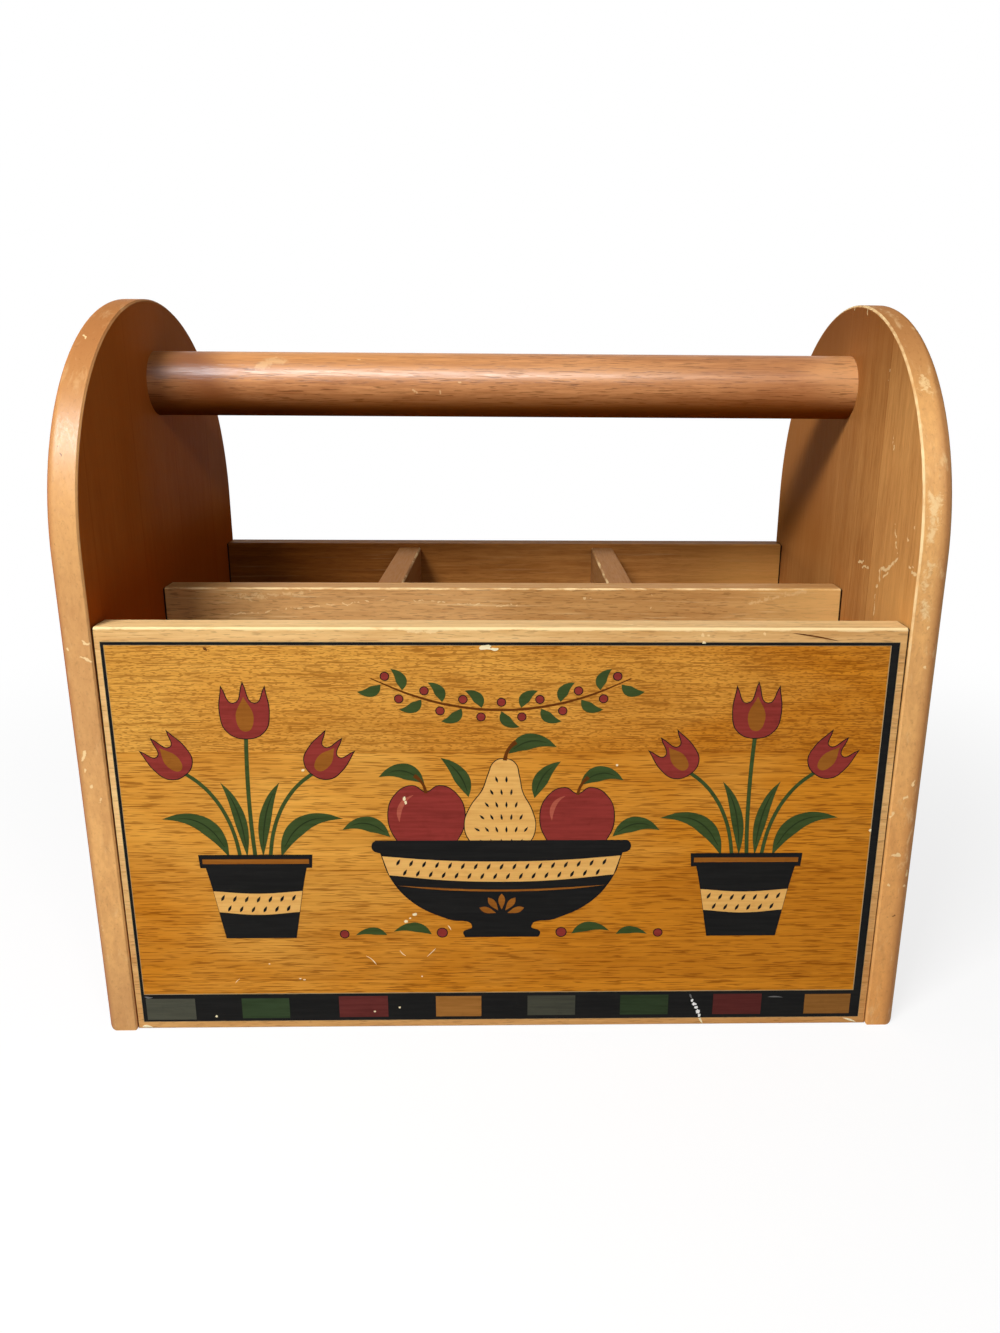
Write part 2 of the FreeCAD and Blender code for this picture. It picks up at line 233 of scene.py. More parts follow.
WHITE = (1, 1, 1, 1)
FLOOR_GREY = (0.36, 0.35, 0.34, 1)
FLOOR_PALE = (0.95, 0.95, 0.95, 1)
SKY = (1.0, 0.985, 0.96, 1)
PAINTS = {
    "black": ((0.0075, 0.0073, 0.007, 1), (0.0125, 0.012, 0.011, 1)),
    "cream": ((0.76, 0.43, 0.125, 1), (0.62, 0.31, 0.075, 1)),
    "red": ((0.26, 0.034, 0.027, 1), (0.16, 0.019, 0.014, 1)),
    "rose": ((0.44, 0.105, 0.065, 1), (0.30, 0.06, 0.035, 1)),
    "green": ((0.045, 0.073, 0.020, 1), (0.028, 0.044, 0.010, 1)),
    "deep_green": ((0.016, 0.026, 0.008, 1), (0.022, 0.034, 0.010, 1)),
    "rust": ((0.30, 0.105, 0.014, 1), (0.20, 0.060, 0.006, 1)),
    "brown": ((0.13, 0.035, 0.004, 1), (0.085, 0.022, 0.002, 1)),
}
BLOCK_COLOURS = {
    "grey_green": ((0.076, 0.076, 0.053, 1), (0.049, 0.050, 0.037, 1)),
    "green": ((0.033, 0.055, 0.023, 1), (0.021, 0.034, 0.013, 1)),
    "dark_red": ((0.123, 0.026, 0.022, 1), (0.082, 0.015, 0.013, 1)),
    "ochre": ((0.339, 0.143, 0.031, 1), (0.224, 0.090, 0.017, 1)),
}
BLOCK_SHADE_FALL = 0.255
PAINT_ROUGHNESS = 0.45

# Chips in the paint of the front board, across and up in millimetres: place, half size, number of the shape
CREAM_CHIPS = [
    ((-6.6, 154.9), (2.4, 1.1), 1), ((-3.4, 154.3), (1.3, 0.7), 2), ((70.0, 156.8), (0.8, 0.5), 3),
    ((-36.4, 97.6), (0.6, 1.0), 4), ((-36.0, 95.9), (0.5, 0.7), 5), ((-72.6, 108.8), (0.6, 0.5), 6),
    ((40.9, 110.5), (0.6, 0.5), 7), ((136.1, 84.2), (0.5, 0.7), 8), ((-111.7, 5.6), (0.6, 0.5), 9),
    ((-50.4, 7.3), (0.5, 0.4), 10), ((-40.7, 9.0), (0.5, 0.4), 11),
    ((-33.9, 49.9), (1.0, 0.65), 12), ((-37.3, 46.8), (1.0, 0.6), 13), ((-35.6, 48.2), (0.45, 0.35), 14),
    ((-31.7, 22.9), (0.35, 0.25), 15), ((-78.4, 22.2), (0.45, 0.3), 16), ((-76.9, 21.7), (0.5, 0.2), 17),
    ((-89.8, 28.8), (0.35, 0.25), 18),
]
STRIP_CHIPS = [
    ((73.4, 11.2), (0.55, 0.8), 21), ((74.2, 9.7), (0.95, 0.75), 22), ((75.0, 8.0), (0.75, 0.75), 23),
    ((75.8, 6.2), (0.85, 1.1), 24), ((76.5, 4.4), (0.6, 0.8), 25),
]
CHIP_CORNERS = 11

# Scratches in that paint: start, bend, end and widths
PALE_LINES = [
    ((76.7, 3.2), (77.2, 2.0), (78.0, 0.9), (0.9, 0.8, 0.6, 0)),
    ((133.6, 2.7), (136.2, 2.1), (138.9, 0.8), (0, 0.5, 0.7, 0.5, 0)),
    ((-140.6, 1.2), (-139.2, 1.7), (-136.8, 0.8), (0.3, 1.0, 0.8, 0)),
    ((-40.0, 34.4), (-39.2, 32.9), (-37.7, 31.9), (0, 0.2, 0.16, 0)),
    ((-52.8, 32.0), (-50.6, 31.0), (-49.0, 28.1), (0, 0.12, 0.16, 0.3, 0)),
    ((-29.6, 31.5), (-27.4, 33.8), (-26.2, 35.1), (0, 0.16, 0.2, 0)),
    ((-21.5, 45.1), (-20.6, 44.2), (-20.2, 42.9), (0, 0.3, 0.25, 0)),
    ((-103.4, 20.3), (-102.9, 21.4), (-101.6, 22.2), (0, 0.16, 0.14, 0)),
]
GREY_SCUFFS = [
    ((72.3, 14.2), (72.7, 13.2), (73.1, 12.2), (0, 0.7, 0.6, 0.4)),
    ((103.0, 12.6), (106.0, 12.9), (109.0, 12.4), (0, 0.5, 0.4, 0)),
    ((-138.6, 14.6), (-137.4, 13.9), (-135.4, 14.2), (0, 0.7, 0.5, 0)),
]
DARK_LINES = [
    ((-104.6, 154.9), (-103.8, 154.4), (-103.2, 153.6), (0, 1.0, 0.8, 0)),
    ((101.0, 160.2), (107.0, 159.7), (117.5, 157.4), (0, 0.3, 0.4, 0.4, 0)),
]


def across(y, rows):
    """Marks on a face that looks forward: places across and up at both ends, and a width, in millimetres."""
    return [((x, y, z), (end_x, y, end_z), width) for x, z, end_x, end_z, width in rows]


def sideways(x, rows):
    """Marks on a face that looks sideways: places back and up at both ends, and a width, in millimetres."""
    return [((x, y, z), (x, end_y, end_z), width) for y, z, end_y, end_z, width in rows]


# Marks on the wood, each from one place to another with a width, in millimetres
RIGHT_FACE_MARKS = sideways(142.5, [
    (-64.6, 194.8, -69.7, 185.1, 0.7), (-70.6, 183.3, -64.2, 179.1, 1.0), (-64.2, 179.1, -54.8, 175.6, 1.1),
    (-62.6, 176.8, -59.1, 174.3, 1.0), (-55.5, 175.8, -56.0, 171.4, 1.1), (-56.0, 171.4, -53.1, 169.0, 1.2),
    (-53.1, 169.0, -53.4, 157.7, 0.7), (-32.6, 174.8, -37.4, 176.2, 0.9), (-36.9, 173.4, -42.9, 174.8, 0.8),
    (-80.3, 182.4, -84.1, 182.9, 0.9), (-83.6, 181.2, -87.6, 181.2, 1.2), (-77.4, 192.1, -77.8, 191.6, 0.8),
    (-82.1, 195.8, -82.6, 196.7, 0.9), (-45.1, 249.3, -44.2, 246.0, 0.7), (-54.8, 226.6, -54.3, 223.5, 0.6),
    (-56.0, 222.2, -56.4, 220.9, 0.7), (-0.7, 274.0, -0.2, 272.7, 0.9), (-15.4, 273.0, -15.6, 271.0, 0.9),
])
RIGHT_BAND_MARKS = across(-89.0, [
    (149.8, 103.5, 150.1, 102.7, 1.3), (146.5, 97.8, 148.3, 98.1, 1.1), (143.5, 91.5, 143.7, 90.1, 1.6),
    (144.4, 74.6, 148.1, 74.5, 1.1), (145.2, 62.0, 145.3, 61.6, 1.1), (150.9, 61.6, 150.9, 61.2, 1.2),
    (148.5, 162.6, 148.6, 162.1, 1.1), (148.9, 148.3, 149.0, 147.8, 1.1),
]) + across(-88.6, [(151.5, 67.6, 151.4, 65.5, 1.0)])
RIGHT_BAND_SCUFFS = [
    ((146.4, -67.8, 243.2), (147.1, -65.3, 246.0), 5.0),
    ((146.2, -87.9, 199.0), (146.8, -86.4, 206.8), 5.5),
    ((146.0, -88.4, 193.0), (146.4, -88.0, 197.0), 4.0),
    ((146.0, -89.0, 178.0), (147.0, -89.0, 184.0), 5.0),
    ((146.8, -89.0, 166.0), (146.2, -89.0, 171.0), 4.0),
]
RIGHT_BAND_DENTS = across(-89.0, [(147.0, 48.2, 148.8, 48.5, 0.9)])
LEFT_BAND_MARKS = across(-89.0, [
    (-153.2, 118.0, -152.6, 120.0, 0.8), (-150.3, 108.4, -149.7, 110.2, 0.8),
    (-148.4, 102.3, -148.2, 103.2, 1.0), (-146.2, 96.7, -145.9, 98.4, 0.7), (-151.0, 44.0, -150.7, 46.5, 0.6),
    (-146.6, 151.7, -143.1, 150.1, 1.0), (-144.9, 156.8, -142.7, 156.4, 0.9),
    (-152.7, 155.6, -151.1, 154.8, 0.9), (-150.7, 113.7, -148.4, 116.6, 1.1),
]) + [((-149.4, -50.3, 259.1), (-149.0, -51.2, 258.2), 0.7)]
LEFT_BAND_DENTS = [
    ((-149.4, -80.3, 224.0), (-149.2, -80.9, 222.4), 0.5),
    ((-148.5, -81.9, 220.4), (-148.3, -82.3, 219.4), 0.5),
    ((-151.0, -88.8, 192.3), (-150.8, -88.9, 190.6), 0.8),
    ((-147.2, -89.0, 148.0), (-147.0, -89.0, 146.8), 0.5),
]
PARTITION_MARKS = across(-17.2, [
    (-116.0, 148.8, -85.2, 151.3, 0.5), (-85.2, 151.3, -50.4, 155.3, 0.5), (-37.9, 155.4, -19.7, 153.2, 0.5),
    (-19.7, 153.2, 5.4, 152.5, 0.5), (61.6, 159.0, 61.9, 151.6, 0.4), (33.1, 155.8, 36.0, 156.0, 0.8),
])
PARTITION_SCUFFS = across(-17.2, [
    (-115.4, 156.2, -94.4, 156.7, 3.0), (-94.4, 156.7, -81.9, 158.2, 2.6),
    (104.7, 153.6, 115.2, 157.2, 2.4), (115.2, 157.2, 126.7, 158.6, 2.4),
])
FRONT_MARKS = [
    ((39.2, -81.4, 162.0), (47.0, -84.5, 162.0), 0.9),
    ((47.0, -84.5, 162.0), (52.5, -87.6, 162.0), 1.1),
] + across(-88.2, [
    (-33.0, 161.1, -23.5, 160.6, 1.3), (69.0, 159.6, 69.5, 159.4, 1.0),
    (71.2, 159.8, 71.6, 159.6, 0.9), (91.0, 160.2, 91.6, 160.0, 0.9),
])
BAR_PATCH = [
    ((-94.0, -9.0, 251.2), (-89.5, -9.0, 251.2), 4.6),
    ((-98.5, -10.6, 249.0), (-94.0, -9.8, 250.2), 3.0),
]
BAR_MARKS = [
    ((-36.4, -12.6, 240.6), (-35.9, -12.6, 239.9), 1.3),
    ((-26.4, -12.6, 239.4), (-26.0, -12.6, 238.8), 1.1),
    ((-19.0, -12.5, 243.6), (-18.0, -12.5, 243.2), 0.9),
    ((-60.0, -8.2, 252.0), (-58.0, -8.4, 251.8), 0.8),
]

# Stage: the floor's width, how far from the caddy its shadow fades out (metres), and the light from all round
FLOOR_SIZE = 8
SHADOW_FADE = (0.15, 0.6)
SKY_STRENGTH = 0.13

# Sockets of the node that mixes two colours
MIX_INPUTS = (0, 6, 7)
MIX_RESULT = 2


class Nodes:
    """A tree of shader nodes, with short calls for those that the finishes and the stage share."""

    def __init__(self, tree):
        self.tree = tree

    def add(self, kind, **settings):
        made = self.tree.nodes.new(kind)
        for name, value in settings.items():
            setattr(made, name, value)
        return made

    def put(self, socket, value):
        """Links a socket to another node's output, or sets its value."""
        if isinstance(value, bpy.types.NodeSocket):
            self.tree.links.new(value, socket)
        else:
            socket.default_value = value

    def fill(self, made, values):
        """Puts values into a node's sockets, in order or by name."""
        pairs = values.items() if isinstance(values, dict) else enumerate(values)
        for key, value in pairs:
            self.put(made.inputs[key], value)
        return made

    def sum(self, operation, *values):
        return self.fill(self.add("ShaderNodeMath", operation=operation), values).outputs[0]

    def plus(self, first, second):
        return self.sum("ADD", first, second)

    def less(self, first, second):
        return self.sum("SUBTRACT", first, second)

    def times(self, first, second):
        return self.sum("MULTIPLY", first, second)

    def most(self, first, second):
        return self.sum("MAXIMUM", first, second)

    def step(self, value, start, end, low=0.0, high=1.0):
        """Goes softly from low to high while the value goes from start to end."""
        made = self.add("ShaderNodeMapRange", interpolation_type="SMOOTHSTEP")
        span = {"Value": value, "From Min": start, "From Max": end, "To Min": low, "To Max": high}
        return self.fill(made, span).outputs["Result"]

    def vector(self, operation, *values):
        """Result of a vector operation: a number for dot products and lengths."""
        made = self.fill(self.add("ShaderNodeVectorMath", operation=operation), values)
        return made.outputs["Value" if operation in ("DOT_PRODUCT", "LENGTH") else "Vector"]

    def mix(self, share, first, second, blend="MIX"):
        made = self.add("ShaderNodeMix", data_type="RGBA", blend_type=blend)
        self.fill(made, dict(zip(MIX_INPUTS, (share, first, second))))
        return made.outputs[MIX_RESULT]

    def between(self, share, first, second):
        """A surface between two others."""
        return self.fill(self.add("ShaderNodeMixShader"), (share, first, second)).outputs[0]


class Finish(Nodes):
    """A material's nodes, with the patterns that the finishes share."""

    def __init__(self, name):
        self.material = bpy.data.materials.new(name)
        self.material.use_nodes = True
        super().__init__(self.material.node_tree)
        self.shader = self.tree.nodes["Principled BSDF"]
        self.place = self.add("ShaderNodeTexCoord").outputs["Object"]
        split = self.fill(self.add("ShaderNodeSeparateXYZ"), (self.place,))
        self.x, self.y, self.z = split.outputs

    def noise(self, scales, detail=2.0, rough=0.5, bent=0.0, place=None, shift=0.0):
        """Soft random pattern; scales are its counts per metre along x, y and z."""
        mapped = self.fill(self.add("ShaderNodeMapping"), {
            "Vector": self.place if place is None else place,
            "Scale": scales,
            "Location": (shift, shift, shift),
        })
        texture = self.fill(self.add("ShaderNodeTexNoise"), {
            "Vector": mapped.outputs[0],
            "Scale": 1.0,
            "Detail": detail,
            "Roughness": rough,
            "Distortion": bent,
        })
        return texture.outputs["Fac"]

    def even_noise(self, scale, detail=2.0, rough=0.5, bent=0.0):
        """Soft random pattern that is as fine along every axis."""
        return self.noise((scale, scale, scale), detail, rough, bent)

    def stain(self, share, colour, blend="MIX"):
        """Lays a colour over the wood's own."""
        self.base = self.mix(share, self.base, colour, blend)

    def bump(self, height, strength, depth):
        values = {"Strength": strength, "Distance": depth, "Height": height}
        made = self.fill(self.add("ShaderNodeBump"), values)
        self.put(self.shader.inputs["Normal"], made.outputs[0])

    def colour(self, value):
        self.put(self.shader.inputs["Base Color"], value)

    def roughness(self, value):
        self.put(self.shader.inputs["Roughness"], value)

    def gloss(self, value):
        self.put(self.shader.inputs["Specular IOR Level"], value)


def along_grain(axis, counts):
    """Scales of a pattern that is drawn out along one axis."""
    crosswise, lengthwise = counts
    return tuple(lengthwise if name == axis else crosswise for name in "xyz")


def plank_shift(finish, grain, axis, width, start, seed):
    """A number for each glued-up plank, places with its own stretch of grain, and a mask of the seams."""
    value = {"x": finish.x, "y": finish.y, "z": finish.z}[axis]
    place = finish.sum("DIVIDE", finish.less(value, start), width)
    count = finish.sum("FLOOR", place)
    draw = finish.add("ShaderNodeTexWhiteNoise", noise_dimensions="1D")
    finish.put(draw.inputs["W"], finish.plus(count, seed))
    joined = finish.add("ShaderNodeCombineXYZ")
    for name, socket in zip("xyz", (finish.x, finish.y, finish.z)):
        if name == grain:
            socket = finish.plus(socket, finish.times(count, PLANK_JUMP))
        finish.put(joined.inputs[name.upper()], socket)
    away = finish.sum("ABSOLUTE", finish.less(finish.sum("FRACT", place), 0.5))
    seam = finish.step(away, 0.5 - 0.5 * MM / width, 0.5 - 0.1 * MM / width)
    return draw.outputs["Value"], joined.outputs[0], seam


def wood(name, grain, light, deep, planks=None, pores=1.0, shares=(0.3, 0.3, 0.3), pore_grain=PORES,
         sparse=0.56):
    """Stained wood before its wear: figure, streaks and fibre by their shares, dark pores, uneven stain.

    Glued-up planks are given by the axis across them, their width, where one starts, how far their tones
    differ and a seed. The sparser the pores are, the fewer show.
    """
    finish = Finish(name)
    tone, place, spread, seam = 0.5, finish.place, 0.0, 0.0
    if planks:
        axis, width, start, spread, seed = planks
        tone, place, seam = plank_shift(finish, grain, axis, width, start, seed)
    figure = finish.noise(along_grain(grain, FIGURE), 3, 0.55, 0.6, place)
    streak = finish.noise(along_grain(grain, STREAK), 3, 0.6, 0.4, place)
    fibre = finish.noise(along_grain(grain, FIBRE), 3, 0.6, 0.2, place)
    pore = finish.noise(along_grain(grain, pore_grain), 2, 0.5, 0.0, place)
    blotch = finish.noise((22, 22, 22), 2, 0.5, 0.4, place)
    share = finish.step(blotch, 0.35, 0.7, -0.075, 0.075)
    for pattern, part in zip((figure, streak, fibre), shares):
        share = finish.plus(share, finish.step(pattern, 0.34, 0.68, -part / 2, part / 2))
    share = finish.sum("MULTIPLY_ADD", tone, spread, share)
    share = finish.sum("MULTIPLY_ADD", seam, 0.35, share)
    share = finish.plus(share, 0.5 - spread / 2)
    finish.base = finish.mix(share, light, deep)
    finish.pore = finish.step(pore, sparse, sparse + 0.09, 0.0, 0.6 * pores)
    finish.stain(finish.pore, PORE_BROWN)
    finish.fibre = fibre
    return finish


def satin(finish, wear, roughness, shine):
    """Closes a wood finish: satin lacquer, rougher where it is worn, with open grain."""
    finish.colour(finish.base)
    finish.gloss(shine)
    rough = finish.step(finish.fibre, 0.25, 0.75, roughness - 0.06, roughness + 0.1)
    if wear is not None:
        rough = finish.sum("MULTIPLY_ADD", wear, 0.25, rough)
    finish.roughness(rough)
    finish.bump(finish.less(finish.fibre, finish.pore), 0.25, 0.2 * MM)
    return finish.material


def stroke_distance(finish, place, start, end):
    """Distance of a place from a straight stroke, whose ends are in millimetres."""
    start, run = Vector(start) * MM, (Vector(end) - Vector(start)) * MM
    away = finish.vector("SUBTRACT", place, start)
    share = finish.vector("DOT_PRODUCT", away, run / run.length_squared)
    share = finish.sum("MINIMUM", finish.most(share, 0.0), 1.0)
    scaled = finish.fill(finish.add("ShaderNodeVectorMath", operation="SCALE"), {0: run, "Scale": share})
    return finish.vector("LENGTH", finish.vector("SUBTRACT", away, scaled.outputs[0]))


def nearest_stroke(finish, strokes, sway):
    """Distance from the nearest of some wavy strokes, as a share of its half width."""
    wave = finish.fill(finish.add("ShaderNodeTexNoise"), {"Scale": 260, "Vector": finish.place})
    bend = finish.vector("SUBTRACT", wave.outputs["Color"], (0.5, 0.5, 0.5))
    place = finish.vector("ADD", finish.place, finish.vector("MULTIPLY", bend, (sway, sway, sway)))
    nearest = 100.0
    for start, end, width in strokes:
        distance = finish.sum("DIVIDE", stroke_distance(finish, place, start, end), width / 2 * MM)
        nearest = finish.sum("MINIMUM", nearest, distance)
    return nearest


def marks(finish, strokes, grain=900):
    """1 on ragged strokes, 0 elsewhere."""
    nearest = nearest_stroke(finish, strokes, 3.5 * MM)
    rough = finish.even_noise(grain, 3, 0.65, 0.4)
    return finish.step(finish.sum("MULTIPLY_ADD", rough, 2.4, nearest), 1.85, 2.35, 1.0, 0.0)


def patch(finish, strokes):
    """1 on soft, uneven strokes, 0 elsewhere."""
    nearest = nearest_stroke(finish, strokes, 5 * MM)
    rough = finish.even_noise(700, 4, 0.65, 0.4)
    return finish.step(finish.sum("MULTIPLY_ADD", rough, 1.8, nearest), 1.2, 2.2, 1.0, 0.0)


def scuffs(finish, strokes):
    """Broken patches of rubbed wood round some strokes, from 1 to 0."""
    nearest = nearest_stroke(finish, strokes, 4 * MM)
    rough = finish.even_noise(420, 4, 0.7, 0.6)
    return finish.step(finish.sum("MULTIPLY_ADD", nearest, -0.22, rough), 0.30, 0.5)


def rubbed_bare(finish, wear, pale=(), pale_share=1.0, scuffed=(), scuffed_share=1.0):
    """A mask of wear, with pale marks and scuffs added to it."""
    if pale:
        wear = finish.most(wear, finish.times(marks(finish, pale), pale_share))
    if scuffed:
        wear = finish.most(wear, finish.times(scuffs(finish, scuffed), scuffed_share))
    return wear


def edge_distance(finish, value, edge):
    """Distance from a flat place across one axis."""
    return finish.sum("ABSOLUTE", finish.less(value, edge))


def ragged(finish, distance, reach, amount, grain, shift=0.0):
    """A ragged band along an edge: 1 at the edge, 0 past about the reach."""
    rough = finish.noise(grain, 4, 0.65, 0.5, shift=shift)
    pushed = finish.sum("MULTIPLY_ADD", finish.less(rough, 0.5), -4 * amount * reach, distance)
    return finish.step(pushed, 0.75 * reach, 1.25 * reach, 1.0, 0.0)


def end_face_tones(finish, back, high, low):
    """Tones laid on the end board's broad face: at the back, at the top and at the foot of what is seen. On
    the right board they are painted shade, darker at the back and the top, and painted light, paler at the
    front of the foot;
    on the left board the top is paler and the foot darker and redder.

    Each has a colour and a share. The one at the top has a height where it starts, the one at the foot has
    a place where it ends towards the back.
    """
    # Painted shade towards the back, painted shade at the top and painted light at the foot, on the right
    # board.
    colour, share = back
    spread = finish.step(finish.y, -0.4 * ARCH_RADIUS, 0.3 * ARCH_RADIUS, 0.0, share)
    above = finish.step(finish.z, WALL_TOP - 10 * MM, WALL_TOP + 15 * MM, 0.7, 1.0)
    finish.stain(finish.times(spread, above), colour)
    colour, share, start = high
    finish.stain(finish.step(finish.z, start, ARCH_TOP, 0.0, share), colour)
    colour, share, end = low
    spread = finish.step(finish.z, WALL_TOP, WALL_TOP + 30 * MM, share, 0.0)
    finish.stain(finish.times(spread, finish.step(finish.y, end - 45 * MM, end, 1.0, 0.0)), colour)


def band_tones(finish, band, colour, foot):
    """The end board's narrow faces: their colour, and a foot of a colour with its first and last shares."""
    finish.stain(finish.times(band, 0.85), colour)
    foot_colour, share, last_share = foot
    low = finish.step(finish.z, 75 * MM, 130 * MM, 1.0, 0.0)
    last = finish.step(finish.z, 10 * MM, 50 * MM, last_share, share)
    finish.stain(finish.times(finish.times(low, last), band), foot_colour)


def band_wear(finish, band, rise, side, shift, rubbed, crown, edge_shade_reach):
    """The narrow faces' wear and shading: mottled, browner at the crown from its end grain and from painted
    shade, darker at the rounded edge from painted shade, pitted and rubbed pale.

    The crown is given as where its brown starts, as a share of the arch, and its share at the top.
    """
    mottle = finish.noise((150, 60, 60), 4, 0.6, 0.6, shift=shift)
    shade = finish.step(mottle, 0.42, 0.75, 0.0, 0.3)
    start, share = crown
    # Browner crown: its end grain, and painted shade.
    top = finish.step(rise, start * ARCH_RADIUS, 0.9 * ARCH_RADIUS, 0.0, share)
    # Painted shade on the rounded outer edge.
    edge_shade = finish.step(side, OUTER_HALF_WIDTH - edge_shade_reach, OUTER_HALF_WIDTH - 0.2 * edge_shade_reach, 0.0, 0.85)
    shade = finish.most(shade, finish.most(top, edge_shade))
    finish.stain(finish.times(shade, band), BAND_SHADE)
    fleck = finish.step(finish.noise((500, 260, 260), 3, 0.7), 0.3, 0.7, 0.0, 0.22)
    finish.stain(finish.times(fleck, band), BAND_SHADE)
    pit = finish.step(finish.noise((1100, 700, 700), 3, 0.6), 0.56, 0.7, 0.0, 0.16)
    finish.stain(finish.times(pit, band), PORE_BROWN)
    worn = finish.noise((230, 80, 80), 4, 0.65, 0.4, shift=3 * shift)
    finish.stain(finish.times(finish.step(worn, 0.55, 0.75, 0.0, rubbed), band), BARE_WOOD)


def end_board_finish(name, light, deep, planks, figure, back, high, low, sheen, band_colour, foot, rubbed,
                     crown, edge_shade_reach, arris_wear, pale, scuffed, dark):
    """Stained wood with upright grain; its narrow faces are paler, shiny and rubbed, its broad ones are dull.

    The figure is how strong the grain is, the sheen how far the broad face shines at the back. The arris
    between the faces is worn, and there are pale marks, scuffs and dark dents.
    """
    shift = planks[2]
    finish = wood(name, "z", light, deep, planks, figure, (figure, figure, figure))
    rise = finish.most(finish.less(finish.z, SPRING_HEIGHT), 0.0)
    squares = finish.plus(finish.sum("POWER", finish.y, 2), finish.sum("POWER", rise, 2))
    depth = finish.less(ARCH_RADIUS, finish.sum("SQRT", squares))
    side = finish.sum("ABSOLUTE", finish.x)
    band = finish.step(depth, 0.2 * MM, 1.2 * MM, 1.0, 0.0)
    end_face_tones(finish, back, high, low)
    band_tones(finish, band, band_colour, foot)
    band_wear(finish, band, rise, side, shift, rubbed, crown, edge_shade_reach)
    arris = finish.plus(finish.most(depth, 0.0), finish.less(side, HALF_WIDTH))
    wear = ragged(finish, arris, 0.65 * MM, 0.25, (70, 70, 70), shift)
    above = finish.step(finish.z, WALL_TOP - 25 * MM, WALL_TOP, 0.1 * arris_wear, arris_wear)
    wear = finish.times(wear, above)
    wear = rubbed_bare(finish, wear, pale, 0.75, scuffed, 0.6)
    finish.stain(wear, BARE_WOOD)
    finish.stain(finish.times(marks(finish, dark), 0.8), PORE_BROWN)
    below = finish.step(rise, 0.35 * ARCH_RADIUS, 0.75 * ARCH_RADIUS, 1.0, 0.0)
    shine = finish.times(finish.times(band, below), 0.13)
    veil = finish.times(finish.step(finish.y, -0.5 * ARCH_RADIUS, 0.0, 0.0, sheen),
                        finish.step(finish.z, WALL_TOP + 10 * MM, WALL_TOP + 45 * MM))
    return satin(finish, wear, 0.36, finish.plus(shine, veil))


def box_board_finish(name, light, deep, edge, pores, reach, streaks, top, stains_and_shading, pale=(), scuffed=()):
    """Streaked wood with grain along the caddy, painted shade darker towards its foot, and a dark gap at its
    ends, wider upwards.

    The arris at the edge, given as its places back and up, is rubbed bare as far as the reach. The top has a
    colour and its share. Each of the stains and painted shading is given as its blend, its colour, where
    along the caddy it starts and is full, its share there and the place of the face that it is on.
    """
    finish = wood(name, "x", light, deep, ("z", BOARD_PLANK, BOARD_PLANK_START, 0.3, 0), pores)
    for blend, colour, start, full, share, face in stains_and_shading:
        spread = finish.step(finish.x, start, full, 0.0, share)
        faced = finish.step(edge_distance(finish, finish.y, face), 1.0 * MM, 4.0 * MM, 1.0, 0.0)
        finish.stain(finish.times(spread, faced), colour, blend)
    streak = finish.noise((22, 300, 750), 4, 0.65, 0.3, shift=2.0)
    finish.stain(finish.step(streak, 0.54, 0.74, 0.0, streaks), BARE_WOOD)
    edge_back, edge_up = edge
    arris = finish.plus(edge_distance(finish, finish.y, edge_back), edge_distance(finish, finish.z, edge_up))
    wear = finish.times(ragged(finish, arris, reach, 0.6, (70, 220, 220)), 0.85)
    wear = rubbed_bare(finish, wear, pale, 0.6, scuffed, 0.35)
    colour, share = top
    finish.stain(finish.step(finish.z, edge_up - 0.4 * MM, edge_up - 0.1 * MM, 0.0, share), colour)
    finish.stain(wear, BARE_WOOD)
    # Dark joint at the board's ends: a glue line and painted shadow in the gap.
    side = finish.sum("MULTIPLY_ADD", finish.z, 0.55 * MM / WALL_TOP, finish.sum("ABSOLUTE", finish.x))
    finish.stain(finish.step(side, HALF_WIDTH - 0.35 * MM, HALF_WIDTH - 0.05 * MM), JOINT_GLUE_AND_SHADOW)
    # Painted shade: darker towards the foot of the board.
    finish.stain(finish.step(finish.z, 0.0, 0.6 * WALL_TOP, 1.0, 0.0), FALLOFF_SHADE, "MULTIPLY")
    return satin(finish, wear, 0.45, 0.02)


def divider_finish():
    """Browner wood with grain from front to back; the arrises towards the middle are rubbed."""
    finish = wood("divider brown", "y", DIVIDER_LIGHT, DIVIDER_DEEP, None, 0.2, (0.2, 0.2, 0.15))
    finish.stain(finish.step(finish.x, 0.0, -10 * MM, 0.0, 0.6), DIVIDER_DEEP)
    side = edge_distance(finish, finish.sum("ABSOLUTE", finish.x), DIVIDER_LOW[0])
    arris = finish.plus(side, edge_distance(finish, finish.z, DIVIDER_HIGH[2]))
    wear = finish.times(ragged(finish, arris, 0.6 * MM, 0.6, (220, 60, 220)), 0.7)
    finish.stain(wear, BARE_WOOD)
    return satin(finish, wear, 0.45, 0.01)


def plain_wood_finish(name, grain, light, deep, pores=1.0, roughness=0.42):
    """Stained wood with no wear of its own."""
    return satin(wood(name, grain, light, deep, None, pores), None, roughness, 0.03)


